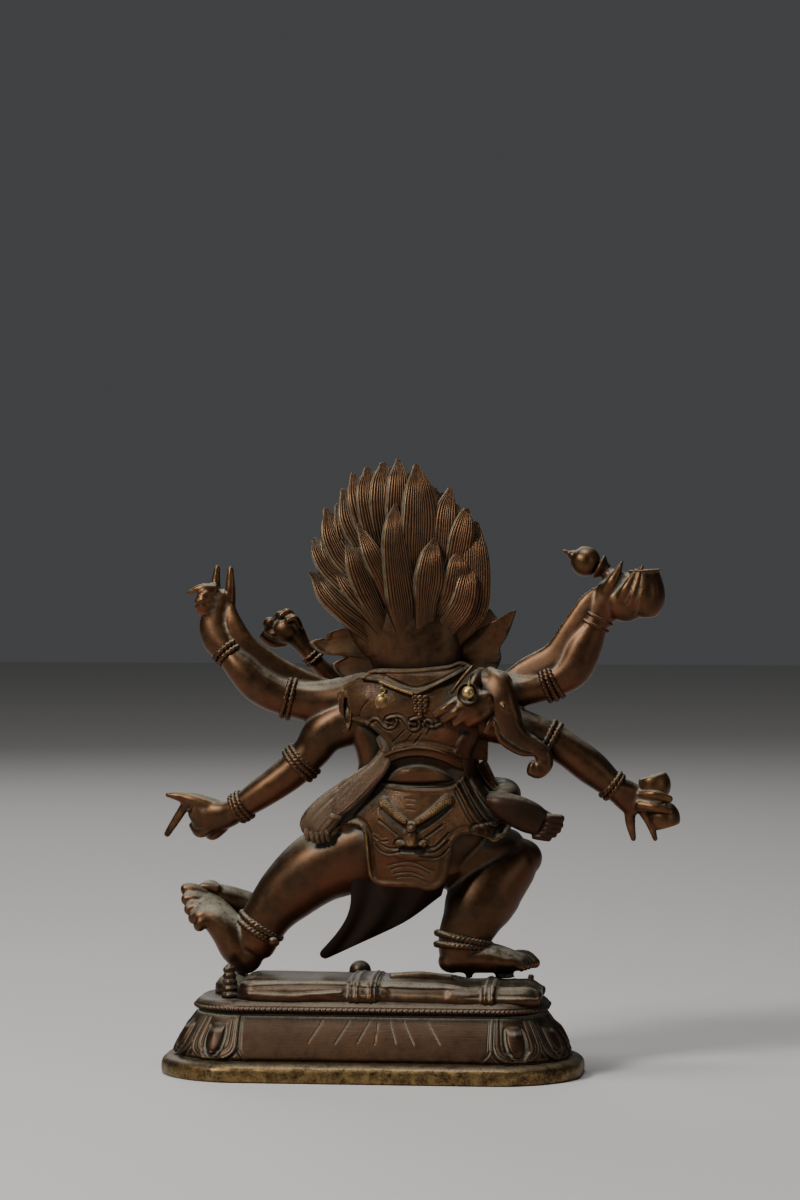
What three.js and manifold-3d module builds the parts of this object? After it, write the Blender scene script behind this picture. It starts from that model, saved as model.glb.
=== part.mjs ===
// Bronze figure of a many-armed protector embraced by a consort, on an oblong lotus plinth.
// Millimetres, +Z up. The figure faces -Y and its own left hand is on the +X side.
// The origin is the centre of the plinth's underside.
// The figure was cast in one piece and the plinth, with the trampled body on it, in another.

import * as THREE from "three";
import { mergeVertices } from "three/addons/utils/BufferGeometryUtils.js";
import Module from "manifold-3d";

const wasm = await Module();
wasm.setup();

// Sizes of the plinth
const PLINTH_LENGTH = 132;
const PLINTH_DEPTH = 62;
const PLINTH_CORNER = 27;
const FLANGE_HEIGHT = 6;
const BODY_HEIGHT = 13.3;
const RIM_HEIGHT = 3.6;
const PLATE_HEIGHT = 1.1;
const BODY_INSET = 4.4;
const BODY_BATTER = 7.6;
const RIM_INSET = 10.6;
const PLATE_INSET = 12.4;
const PETAL_COUNT = 14;
const PETAL_RISE = 1.5;
const PETAL_SINK = 0.8;
const FRAME_WIDTH = 1.5;
const RAY_COUNT = 7;
const RAY_WIDTH = 0.7;
const RAYS_MIDDLE = -3;
const RAYS_SPREAD = 16;

// Sizes of the trampled body
const PRONE_LENGTH = 94;
const PRONE_WIDTH = 29;
const PRONE_HEIGHT = 7.2;
const PRONE_LEG_DROP = 1.5;
const PRONE_MIDDLE = -6.5;
const PRONE_BACKSET = 2.5;

// Sizes of the figure: its layout counts in modules, as an image maker's canon does
const FIGURE_HEIGHT = 167.5;
const FIGURE_MODULES = 167.5;
const SOLE_LEVEL = 7.5;
const HEAD_MIDDLE = -12;
const HEAD_DEPTH = -5;
const HEAD_LEVEL = 119;
const CROWN_LEAVES = 5;
const CROWN_RADIUS = 11.6;
const MASK_MIDDLE = -13.7;
const SEAT_GAP = 0.3;

// Joins leave no edge much shorter than this
const SHORTEST_EDGE = 0.6;

const PLINTH_HEIGHT = FLANGE_HEIGHT + BODY_HEIGHT + RIM_HEIGHT + PLATE_HEIGHT;
const MODULE = FIGURE_HEIGHT / FIGURE_MODULES;

const DEEP = new THREE.Vector3(0, 1, 0);
const UPRIGHT = new THREE.Vector3(0, 0, 1);
const SIDEWAYS = new THREE.Vector3(1, 0, 0);
const SOLE_WIDTH = new THREE.Vector3(-0.22, 0.7, -0.68);

const at = (x, y, z) => new THREE.Vector3(x, y, z);
const lerp = THREE.MathUtils.lerp;
const triples = (list) =>
  Array.from({ length: list.length / 3 }, (_, i) => [...list.slice(3 * i, 3 * i + 3)]);

// Solids, joins and cuts

// A closed geometry as a solid, turned to face outwards
function solid(geometry) {
  const bare = geometry.clone();
  bare.deleteAttribute("normal");
  bare.deleteAttribute("uv");
  const merged = mergeVertices(bare, 1e-4);
  const triVerts = new Uint32Array(merged.index.array);
  const vertProperties = new Float32Array(merged.attributes.position.array);
  const made = new wasm.Manifold(new wasm.Mesh({ numProp: 3, vertProperties, triVerts }));
  if (made.volume() >= 0) return made;
  for (let i = 0; i < triVerts.length; i += 3) {
    [triVerts[i + 1], triVerts[i + 2]] = [triVerts[i + 2], triVerts[i + 1]];
  }
  return new wasm.Manifold(new wasm.Mesh({ numProp: 3, vertProperties, triVerts }));
}

const joined = (pieces) => pieces.reduce((whole, piece) => whole.add(piece));

function geometryOf(made) {
  const mesh = made.getMesh();
  const geometry = new THREE.BufferGeometry();
  const positions = new Float32Array((mesh.vertProperties.length / mesh.numProp) * 3);
  for (let i = 0; i < positions.length / 3; i += 1) {
    for (let k = 0; k < 3; k += 1) positions[3 * i + k] = mesh.vertProperties[mesh.numProp * i + k];
  }
  geometry.setAttribute("position", new THREE.BufferAttribute(positions, 3));
  geometry.setIndex(new THREE.BufferAttribute(new Uint32Array(mesh.triVerts), 1));
  return geometry;
}

// A face smaller than FLAT has no direction; KEPT_TURN is the cosine of the most that a face may turn
const FLAT = 1e-4;
const KEPT_TURN = 0.35;
const CLOSING_PASSES = 3;

const facing = (a, b, c) =>
  new THREE.Vector3().crossVectors(b.clone().sub(a), c.clone().sub(a));

// Closes up the edges shorter than a limit that joins leave behind.
// An edge stays where closing it would pinch the skin or turn a face over.
function withoutShortEdges(geometry, limit) {
  const points = triples(geometry.attributes.position.array).map((p) => at(...p));
  const faces = triples(geometry.index.array);
  const around = points.map(() => new Set());
  faces.forEach((face, f) => face.forEach((p) => around[p].add(f)));
  const neighbours = (p) => new Set([...around[p]].flatMap((f) => faces[f]).filter((q) => q !== p));
  const staysOut = (moved, other, spot) => [...around[moved]].every((f) => {
    if (faces[f].includes(other)) return true;
    const before = facing(...faces[f].map((p) => points[p]));
    const after = facing(...faces[f].map((p) => (p === moved ? spot : points[p])));
    if (after.length() < FLAT) return false;
    return before.length() < FLAT || before.normalize().dot(after.normalize()) > KEPT_TURN;
  });
  const close = (gone, kept) => {
    if (!around[gone].size || points[gone].distanceTo(points[kept]) >= limit) return;
    const shared = [...neighbours(gone)].filter((p) => neighbours(kept).has(p));
    const wings = [...around[gone]].filter((f) => faces[f].includes(kept));
    if (shared.length !== 2 || wings.length !== 2) return;
    const middle = points[gone].clone().lerp(points[kept], 0.5);
    const spot = [points[kept], middle].find((p) => staysOut(gone, kept, p) && staysOut(kept, gone, p));
    if (!spot) return;
    points[kept] = spot;
    wings.forEach((f) => faces[f].forEach((p) => around[p].delete(f)));
    for (const f of around[gone]) {
      faces[f] = faces[f].map((p) => (p === gone ? kept : p));
      around[kept].add(f);
    }
    around[gone].clear();
    wings.forEach((f) => { faces[f] = null; });
  };
  for (let pass = 0; pass < CLOSING_PASSES; pass += 1) {
    const sides = faces.filter(Boolean).flatMap(([a, b, c]) => [[a, b], [b, c], [c, a]]);
    const edges = sides.filter(([a, b]) => a < b);
    const reach = edges.map(([a, b]) => [points[a].distanceTo(points[b]), a, b]);
    const short = reach.filter(([length]) => length < limit).sort((p, q) => p[0] - q[0]);
    short.forEach(([, a, b]) => close(a, b));
  }
  const corners = faces.filter(Boolean).flat().map((p) => points[p]);
  const merged = mergeVertices(new THREE.BufferGeometry().setFromPoints(corners), 1e-5);
  merged.computeVertexNormals();
  return merged;
}

// A closed skin over a row of rings of points, with a point of its own at each end
function skin(rings, start, end) {
  const count = rings[0].length;
  const points = [...rings.flat(), start, end];
  const first = points.length - 2;
  const last = points.length - 1;
  const faces = [];
  for (let k = 0; k < count; k += 1) {
    const next = (k + 1) % count;
    faces.push(first, next, k);
    for (let r = 0; r < rings.length - 1; r += 1) {
      const low = r * count;
      const high = low + count;
      faces.push(low + k, low + next, high + next);
      faces.push(low + k, high + next, high + k);
    }
    const top = (rings.length - 1) * count;
    faces.push(top + k, top + next, last);
  }
  const geometry = new THREE.BufferGeometry().setFromPoints(points);
  geometry.setIndex(faces);
  return solid(geometry);
}

// A tapering limb through stations of x, y, z, half width and half depth; its depth runs along axis
function limb(stations, { sides = 6, axis = DEEP, bulge = 0.45, point = bulge } = {}) {
  const curve = new THREE.CatmullRomCurve3(stations.map(([x, y, z]) => at(x, y, z)));
  const spans = stations.length - 1;
  const rings = [];
  for (let i = 0; i <= spans; i += 1) {
    const t = i / spans;
    const [x, y, z, width, depth] = stations[i];
    const centre = at(x, y, z);
    const across = new THREE.Vector3().crossVectors(curve.getTangent(t), axis).normalize();
    const deep = new THREE.Vector3().crossVectors(across, curve.getTangent(t)).normalize();
    const ring = [];
    for (let k = 0; k < sides; k += 1) {
      const turn = ((k + 0.5) / sides) * 2 * Math.PI;
      const side = across.clone().multiplyScalar(width * Math.cos(turn));
      ring.push(centre.clone().add(side).addScaledVector(deep, depth * Math.sin(turn)));
    }
    rings.push(ring);
  }
  const head = curve.getPoint(0).addScaledVector(curve.getTangent(0), -bulge * stations[0][3]);
  const tail = curve.getPoint(1).addScaledVector(curve.getTangent(1), point * stations[spans][3]);
  return skin(rings, head, tail);
}

// Stations with a raised rope ring in place of each numbered one
function ringed(stations, numbers, rise = 0.95, half = 1.2) {
  return stations.flatMap((station, i) => {
    if (!numbers.includes(i)) return [station];
    const ahead = at(...stations[i + 1].slice(0, 3)).sub(at(...stations[i - 1].slice(0, 3))).normalize();
    return [[-half, 0], [-half * 0.55, rise], [half * 0.55, rise], [half, 0]].map(([along, more]) => [
      station[0] + ahead.x * along, station[1] + ahead.y * along, station[2] + ahead.z * along,
      station[3] + more, station[4] + more,
    ]);
  });
}

// A thin rod of square section from one list of points
const rod = (points, radius, options = {}) =>
  limb(points.map((p) => [...p, radius, radius]), { sides: 4, ...options });

// A finger that tapers from its root to its tip
function finger(points, root, tip, options = {}) {
  const last = points.length - 1;
  const stations = points.map((p, i) => {
    const radius = lerp(root, tip, (i / last) ** 1.3);
    return [...p, radius, radius];
  });
  return limb(stations, { sides: 4, bulge: 0.3, point: 0.9, ...options });
}

function ball([x, y, z], [wide, deep, high], around = 8, rows = 5) {
  const geometry = new THREE.SphereGeometry(1, around, rows).rotateX(Math.PI / 2);
  return solid(geometry.scale(wide, deep, high).translate(x, y, z));
}

// A turned shape: profile points of radius and height, stood on a place along a direction
function turned(profile, place, direction, sides = 8) {
  const geometry = new THREE.LatheGeometry(profile.map(([r, h]) => new THREE.Vector2(r, h)), sides);
  const turn = new THREE.Quaternion().setFromUnitVectors(DEEP, at(...direction).normalize());
  return solid(geometry.applyQuaternion(turn).translate(...place));
}

// A flat shape drawn in x and z, with its near and far faces at two depths
function plate(outline, back, front) {
  const shape = new THREE.Shape(outline.map(([x, z]) => new THREE.Vector2(x, z)));
  const geometry = new THREE.ExtrudeGeometry(shape, { depth: Math.abs(back - front), bevelEnabled: false });
  return solid(geometry.rotateX(Math.PI / 2).translate(0, Math.max(back, front), 0));
}

// Plinth

const straightX = PLINTH_LENGTH / 2 - PLINTH_CORNER;
const straightY = PLINTH_DEPTH / 2 - PLINTH_CORNER;
const bodyTop = FLANGE_HEIGHT + BODY_HEIGHT;

// A point of the rounded oblong, inset from the flange, at an angle round one of its four corners
function cornerPoint(corner, share, inset, z) {
  const turn = ((corner + share) * Math.PI) / 2;
  const alongX = corner === 0 || corner === 3 ? straightX : -straightX;
  const alongY = corner < 2 ? straightY : -straightY;
  const radius = PLINTH_CORNER - inset;
  return at(alongX + radius * Math.cos(turn), alongY + radius * Math.sin(turn), z);
}

function oblongRing(inset, z, arcSteps = 5) {
  const ring = [];
  for (let corner = 0; corner < 4; corner += 1) {
    for (let k = 0; k <= arcSteps; k += 1) ring.push(cornerPoint(corner, k / arcSteps, inset, z));
  }
  return ring;
}

function plinthBlock() {
  const levels = [
    [0.9, 0], [0, 1.2], [0.1, FLANGE_HEIGHT * 0.6], [1.3, FLANGE_HEIGHT * 0.87],
    [BODY_INSET, FLANGE_HEIGHT], [BODY_INSET + BODY_BATTER * 0.36, FLANGE_HEIGHT + BODY_HEIGHT * 0.5],
    [BODY_INSET + BODY_BATTER, bodyTop], [RIM_INSET + 0.8, bodyTop + 0.2],
    [RIM_INSET, bodyTop + RIM_HEIGHT * 0.35], [RIM_INSET, bodyTop + RIM_HEIGHT * 0.75],
    [RIM_INSET + 0.9, bodyTop + RIM_HEIGHT], [PLATE_INSET, PLINTH_HEIGHT],
  ];
  const rings = levels.map(([inset, z]) => oblongRing(inset, z));
  return skin(rings, at(0, 0, 0), at(0, 0, PLINTH_HEIGHT));
}

// How far in the battered wall stands at a share of its height
const wallInset = (rise) => BODY_INSET + BODY_BATTER * rise ** 1.35;
const wallArc = ((PLINTH_CORNER - BODY_INSET - BODY_BATTER * 0.4) * Math.PI) / 2;

// The wall at a distance along its run from the panel's +X end, round the front,
// and at a share of its height
function wallPlace(run, rise, out) {
  const inset = wallInset(rise) - out;
  const z = FLANGE_HEIGHT + BODY_HEIGHT * rise;
  const legs = [
    wallArc, 2 * straightY, wallArc, 2 * straightX, wallArc, 2 * straightY, wallArc,
  ];
  const starts = [0, 3, 3, 2, 2, 1, 1];
  let left = run;
  let leg = 0;
  while (leg < legs.length - 1 && left > legs[leg]) {
    left -= legs[leg];
    leg += 1;
  }
  const share = left / legs[leg];
  if (leg % 2 === 0) return cornerPoint(starts[leg], 1 - share, inset, z);
  const from = cornerPoint(starts[leg - 1], 0, inset, z);
  const to = cornerPoint(starts[leg + 1], 1, inset, z);
  return from.lerp(to, share);
}

const wallRun = 4 * wallArc + 4 * straightY + 2 * straightX;

// A lotus petal hanging on the wall: a U-shaped pad with a raised lip and a raised tongue
function petal(middle, width) {
  const outline = (size, out) => {
    const ring = [];
    for (let k = 0; k <= 4; k += 1) {
      const turn = (Math.PI * k) / 4;
      const across = -Math.cos(turn) * (width / 2) * size;
      const rise = lerp(0.5, 0.02 + 0.48 * (1 - Math.sin(turn) ** 0.8), size ** 0.6);
      ring.push(wallPlace(middle + across, rise, out));
    }
    const top = lerp(0.6, 0.99, size);
    ring.push(wallPlace(middle + width * 0.42 * size, top, out));
    ring.push(wallPlace(middle - width * 0.42 * size, top, out));
    return ring;
  };
  const rings = [
    outline(0.94, -PETAL_SINK), outline(0.9, PETAL_RISE), outline(0.62, PETAL_RISE * 0.3),
  ];
  return skin(rings, wallPlace(middle, 0.5, -PETAL_SINK), wallPlace(middle, 0.42, PETAL_RISE * 1.3));
}

function petals() {
  const width = wallRun / PETAL_COUNT;
  return Array.from({ length: PETAL_COUNT }, (_, i) => petal((i + 0.5) * width, width));
}

// The plain back panel's wall, from a place along it and a share of its height
function panelPlace(x, rise, out) {
  return [x, PLINTH_DEPTH / 2 - wallInset(rise) + out, FLANGE_HEIGHT + BODY_HEIGHT * rise];
}

function panelFrame() {
  const bars = [];
  for (const side of [-1, 1]) {
    const x = side * straightX;
    const run = [panelPlace(x, 0.02, 0), panelPlace(x, 0.5, 0.4), panelPlace(x, 0.98, 0)];
    bars.push(rod(run, FRAME_WIDTH / 2));
  }
  return bars;
}

function rays() {
  const half = (RAY_COUNT - 1) / 2;
  return Array.from({ length: RAY_COUNT }, (_, i) => {
    const lean = (i - half) / half;
    const x = RAYS_MIDDLE - RAYS_SPREAD * lean;
    return rod([panelPlace(x, 0.92, 0.1), panelPlace(x - 4 * lean, 0.45, 0.6)], RAY_WIDTH / 2);
  });
}

// Trampled body, face down along the plinth with its head under the raised heel

const proneLegTop = PRONE_HEIGHT - PRONE_LEG_DROP;

function proneRing(x, y, halfWidth, height) {
  const ring = [];
  for (let k = 0; k <= 6; k += 1) {
    const turn = (Math.PI * k) / 6;
    const z = PLINTH_HEIGHT + height * Math.sin(turn) ** 0.6;
    ring.push(at(x, y + halfWidth * Math.cos(turn), z));
  }
  ring.push(at(x, y - halfWidth * 0.9, PLINTH_HEIGHT - 0.8));
  ring.push(at(x, y + halfWidth * 0.9, PLINTH_HEIGHT - 0.8));
  return ring;
}

function proneBody() {
  const half = PRONE_WIDTH / 2;
  const chest = PRONE_HEIGHT * 0.97;
  const outline = [
    [0.5, 0.82, PRONE_HEIGHT * 0.8], [0.46, 1, chest], [0.28, 1.02, chest],
    [0.115, 0.97, PRONE_HEIGHT * 0.93],
    [0.105, 1.03, PRONE_HEIGHT], [0.03, 1.03, PRONE_HEIGHT], [0.02, 0.97, chest],
    [-0.17, 0.98, chest], [-0.23, 1, proneLegTop], [-0.3, 0.94, proneLegTop],
    [-0.32, 0.98, proneLegTop * 0.93], [-0.34, 0.92, proneLegTop], [-0.46, 0.9, proneLegTop * 0.95],
    [-0.5, 0.75, proneLegTop * 0.6],
  ];
  const along = (share) => PRONE_MIDDLE + share * PRONE_LENGTH;
  const rings = outline.map(([share, wide, high]) =>
    proneRing(along(share), PRONE_BACKSET, half * wide, high));
  const end = (share) => at(along(share), PRONE_BACKSET, PLINTH_HEIGHT + 1);
  return skin(rings, end(0.51), end(-0.51));
}

// The head, the knobbly hair knot beside it, the sash ridge and the arms of the trampled body
function proneDetails() {
  const shoulder = PRONE_MIDDLE + 0.46 * PRONE_LENGTH;
  const top = PLINTH_HEIGHT;
  const back = top + PRONE_HEIGHT;
  const knot = [[0, -1]];
  for (let i = 0; i < 4; i += 1) {
    const size = 2.5 - 0.2 * i;
    knot.push([size, i * 2.6], [size * 0.8, 1.4 + i * 2.6]);
  }
  knot.push([0, 10.4]);
  return [
    ball([shoulder + 7, -2, top + 0.5], [6.5, 8, PRONE_HEIGHT - 0.7]),
    turned(knot, [shoulder + 6.5, 11.6, top], [0, 0, 1], 6),
    rod([[-7, 8, back - 0.9], [-16, 8.4, back - 0.6], [-25, 8, back - 1.1]], 1.2),
    ball([5.5, -11, top + 6], [3.4, 3.4, 3.4]),
    rod([[shoulder - 4, -11, top + 2.6], [14, -14.5, top + 2.4], [6, -12, top + 4]], 2.6, { sides: 7 }),
    rod([[-49.5, 3, top + 2], [-50, 3, top + proneLegTop + 1.2]], 0.9),
  ];
}

function plinth() {
  const body = joined([plinthBlock(), ...petals(), ...panelFrame()]);
  const cut = rays().reduce((whole, ray) => whole.subtract(ray), body);
  return joined([cut, proneBody(), ...proneDetails()]);
}

// Figure, in modules above the plinth's top plate

function trunk() {
  return [
    limb([
      [-17, 1, 42, 14, 10], [-17, 2, 52, 19, 13], [-18, 1, 63, 17, 12], [-19, 0, 73, 14.5, 10.5],
      [-17.5, 0, 82, 17, 12], [-15.5, 0, 91, 21, 12], [-14.5, 0, 98, 20, 9.5],
      [-14, 0, 104, 11, 7.5], [-13, -1, 110, 8.5, 8],
    ], { sides: 8 }),
    ball([-18, -7, 76], [13, 8.5, 10]),
  ];
}

// Arms: shoulder, elbow, wrist and palm, with rope rings above the elbow and at the wrist
const ARMS = {
  upperLeft: [
    [3, 0, 94, 8.5, 8.5], [16, 1, 91.8, 6.7, 6.7], [27.7, 2, 93.5, 5.9, 5.9], [35.5, 3, 97, 5.6, 5.6],
    [41, 3, 102.3, 4.9, 4.9], [44.9, 2, 106.8, 4.3, 4.1], [47.6, 1, 111, 5.2, 3.6],
    [49.6, 0, 117, 5.8, 3.4], [49.4, -1, 121.5, 5, 3.1],
  ],
  lowerLeft: [
    [2, 2, 89, 9, 8], [14, 3, 83.5, 6.6, 6.4], [20, 3, 77, 5.4, 5.3], [26, 3, 71, 5.5, 5.4],
    [34.5, 3, 64, 5, 4.9], [42.4, 2, 58.2, 4, 4], [46.5, 1, 56.6, 4.8, 3.8], [52.5, 0, 56, 5.8, 3.6],
    [56.5, 0, 57.8, 3.6, 3],
  ],
  upperRight: [
    [-29, 0, 94, 8.5, 8.5], [-42, 1, 94.3, 6.3, 6.3], [-53.7, 1, 97.3, 5.4, 5.4],
    [-60.8, 1, 101.3, 5.1, 5.1], [-64.8, 1, 108, 4.9, 4.9], [-69.2, 1, 117, 4, 4],
    [-71, 1, 121, 4.7, 3.7], [-74.5, 1, 126, 5.3, 3.6],
  ],
  lowerRight: [
    [-29, 2, 90, 9, 8], [-44, 3, 84.8, 6.5, 6.4], [-54, 3, 81.3, 5.7, 5.7], [-61, 3, 77.6, 5.3, 5.3],
    [-68.5, 2, 72, 5.4, 5.3], [-75.7, 1, 65.8, 4.1, 4.1], [-78.6, 0, 63.8, 4.8, 3.7],
    [-82.3, -1, 61.3, 5.6, 3.5],
  ],
};
const FRONT_ARMS = [
  [
    [3, 0, 91, 8, 8], [9, -11, 85, 6, 6], [4, -22, 80, 5, 5], [-5, -30, 81, 3.8, 3.8],
    [-9, -31.5, 82, 4.4, 3.6],
  ],
  [
    [-31, 0, 91, 8, 8], [-38, -10, 86, 6, 6], [-33, -22, 84, 5, 5], [-24, -30, 87, 3.8, 3.8],
    [-20, -31.5, 88, 4.4, 3.6],
  ],
];
const ARM_RING_STATIONS = [2, 5];

// Fingers of each open hand: root to tip, with the two radii
const FINGERS = [
  [[[51.2, -1, 119], [49.8, -1, 134.2]], 2.2, 0.9],
  [[[46.4, 0, 118], [45, 0, 133.6]], 1.9, 0.9],
  [[[52.4, 0, 120], [53.8, -1, 126.2], [58.2, -1.5, 125.8]], 2, 0.8],
  [[[53.5, 1, 112], [55.8, 0, 118], [54, -1.5, 124]], 2.3, 1.8],
  [[[53.5, 0, 59.4], [64.4, 0, 62]], 2.7, 0.8],
  [[[57, -1, 58], [65, -2, 49.8]], 2, 1.1],
  [[[50, 1, 52.5], [54.5, 0, 50.9], [56.5, -2, 53]], 2.1, 1.8],
  [[[-74, 0, 125], [-76.8, 1, 134.8]], 2.1, 1],
  [[[-77.6, 3, 123.5], [-82.8, 2, 133.6]], 2.1, 1],
  [[[-73, 4, 122], [-80, 7.8, 121], [-86, 7, 122.5]], 2.1, 1.6],
  [[[-73, 2.5, 119.5], [-79.5, 6.8, 117.5], [-86, 6, 118.5]], 2, 1.5],
  [[[-74, -1, 126.5], [-71, 0, 134]], 2, 1.2],
  [[[-81, -1, 59.5], [-80.6, -1, 49.8]], 2.1, 1],
  [[[-84.8, -1, 59], [-88, -1, 49.8]], 2, 1],
  [[[-84.5, 1, 63.5], [-88.5, 3.5, 63.5], [-93, 3, 62]], 2.1, 1.4],
  [[[-84, 1.5, 60], [-88.5, 3.5, 59.8], [-93, 3, 58.8]], 2, 1.4],
];

function arms() {
  const limbs = Object.values(ARMS).map((stations) => limb(ringed(stations, ARM_RING_STATIONS)));
  const front = FRONT_ARMS.map((stations) => limb(stations, { axis: UPRIGHT }));
  const fingers = FINGERS.map(([points, root, tip]) => finger(points, root, tip));
  return [...limbs, ...front, ...fingers];
}

// What the hands hold: a pointed gourd sceptre, an hourglass drum, a flaying knife and a skull cup
function heldThings() {
  const ribbed = [[0, -9], [4, -8.4], [6.7, -2.4], [6.2, 4], [4.5, 8.8], [0, 8.8]];
  const pointedBall = [[0, -4.6], [3.4, -3.4], [4.7, 0], [3.9, 3], [1.6, 5.4], [0, 8.2]];
  const drum = [[0, -8], [4.4, -8], [4.8, -4.6], [2.2, 0], [4.8, 4.6], [4.4, 8], [0, 8]];
  const cup = [[0, -4], [3.4, -3], [5.2, 0.6], [5.4, 2.4], [4.6, 2.6], [0, 1.4]];
  return [
    turned(ribbed, [-83.3, 2, 124.8], [0.1, 0, 1]),
    turned(pointedBall, [-66.2, 0, 136], [0.75, 0, 0.62]),
    rod([[-69, 0, 134.6], [-72, 0.5, 132], [-77, 1.5, 129]], 2.2),
    turned(drum, [-89.6, -1, 61.4], [0.28, 0, 1]),
    turned(cup, [-8, -35.5, 83], [0, 0.15, 1]),
    limb([[-27, -36, 84, 1, 1], [-21, -36.5, 81.5, 3, 1], [-15, -36, 84.5, 1, 1]], { sides: 5 }),
    rod([[-20.5, -36, 83], [-20, -34.5, 92]], 1.2),
  ];
}

// Legs: the left one stretched out, the right one bent at the knee
function legs() {
  const left = limb(ringed([
    [-6, 0, 50, 13, 12], [7, 0, 44.5, 12.6, 11.6], [17.7, 0, 39.4, 11.3, 10.6],
    [26.8, 0, 31.8, 9.8, 9.4], [35.4, 0.3, 21.6, 7.4, 7.5], [37.6, 0.5, 17.6, 6.4, 6.6],
  ], [4], 1.1, 2), { sides: 8 });
  const leftFoot = limb([
    [39, 1, 9.4, 3, 3.4], [42.2, 1, 13.2, 5.4, 5.2], [46.4, 0.6, 18.6, 5, 6.2], [51.6, 0, 23.8, 4, 7.2],
    [57.4, -0.4, 28.4, 2.6, 7.4],
  ], { axis: SOLE_WIDTH });
  const thigh = limb([
    [-18, -2, 47, 13, 12], [-30, -5, 44.5, 12, 11.2], [-42.6, -8, 42.6, 9.6, 9.2],
  ], { sides: 8 });
  const shin = limb(ringed([
    [-45.6, -7.2, 43.8, 6.4, 7.4], [-43.4, -5, 39.6, 8.6, 8.8], [-34.6, -1.2, 28.6, 10, 10],
    [-28.9, 0, 18.8, 8, 7.8], [-28.2, 0.4, 13.6, 7.4, 7.2],
  ], [3], 1.1, 2), { sides: 8 });
  const rightFoot = limb([
    [-24.4, 1, 11.4, 4, 5.2], [-31, 0.8, 12.2, 4.7, 6.4], [-39.5, -0.4, 11.4, 4, 7.2],
    [-47.6, -2, 10.3, 2.5, 7.4],
  ]);
  return [left, leftFoot, thigh, shin, rightFoot];
}

function toes() {
  const made = [];
  for (let i = 0; i < 5; i += 1) {
    const spread = (i - 2) * 3;
    const big = i === 0 ? 1.9 : 1.6;
    const [rootX, rootZ, reach] = [55.6 - spread * 0.22, 27.6 - spread * 0.66, 1.2 - i * 0.1];
    made.push(finger([
      [rootX, spread * 0.7 - 0.6, rootZ], [rootX + 3 * reach, spread * 0.7 - 0.4, rootZ + 2.4 * reach],
      [rootX + 5.4 * reach, spread * 0.7 - 0.4, rootZ + 2.8 * reach],
    ], big, 1.3));
    made.push(finger([
      [-44.5, spread - 2, 10.2], [-48, spread - 2.4, 9.8], [-51, spread - 2.8, 9.4],
    ], big, 1.3));
  }
  return made;
}

// Pegs under the right sole, as tall as the body under it is low there
function footPegs() {
  const end = SOLE_LEVEL - PRONE_LEG_DROP / MODULE;
  const profile = (radius) => [[0, 0], [radius, 0], [radius, 4], [0, 4]];
  const peg = (x, y, radius) => turned(profile(radius), [x, y, end], [0, 0, 1], 6);
  return [peg(-30.5, 2, 1.1), peg(-41.5, 0, 3)];
}

// Tiger skin: a full wrap over the hips, a hanging back apron, two side lobes and a pointed flap
function skirt() {
  return [
    limb([
      [-18.5, 0.5, 69, 15.5, 12], [-18, 2, 62, 19.5, 14.5], [-16.5, 3, 54, 21.5, 15.5],
      [-15, 3, 46.5, 19, 14],
    ], { sides: 10, point: 0.1 }),
    limb([
      [-13, 10.5, 56, 18, 6.5], [-13, 11, 47, 13.6, 4.4], [-13, 11, 41, 13, 3], [-15, 10.5, 35.6, 8, 2.2],
    ], { sides: 10, point: 0.12 }),
    limb([[-6, 9, 64, 9, 5], [3, 9, 57, 7.6, 5.4], [9.6, 7, 51.5, 4.6, 5]], { sides: 8, point: 0.3 }),
    limb([[-30, 8, 66, 8, 5], [-37.6, 9, 60, 8, 5], [-42, 9, 54.6, 4.4, 3.6]], { sides: 8, point: 0.4 }),
    limb([
      [-7, 8.5, 38, 13, 2.4], [-5, 8, 31.4, 12, 2.4], [4, 7, 23.6, 7.4, 2.2], [12, 6, 15.8, 3.6, 1.8],
      [16.4, 6, 12, 1, 1],
    ]),
  ];
}

// The tiger's mask on the rump: brows, slit eyes, nose and nostrils
function tigerMask() {
  const x = (side, out) => MASK_MIDDLE + side * out;
  const brow = (side) => limb([
    [x(side, 2.4), 17.4, 55.6, 1.6, 1.8], [x(side, 6), 16.6, 58.4, 1.8, 2.2],
    [x(side, 10.4), 14.2, 61.6, 1, 2],
  ], { sides: 5 });
  const lid = (side) => rod([[x(side, 4.4), 16.9, 52.6], [x(side, 9.4), 15.6, 54.2]], 1);
  const nose = limb([
    [MASK_MIDDLE, 17.4, 55.8, 1.6, 1.6], [MASK_MIDDLE, 17.6, 52.6, 1.4, 1.8],
    [MASK_MIDDLE, 17.4, 49.4, 3.6, 2.6],
  ]);
  return [brow(-1), brow(1), lid(-1), lid(1), nose];
}

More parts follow.
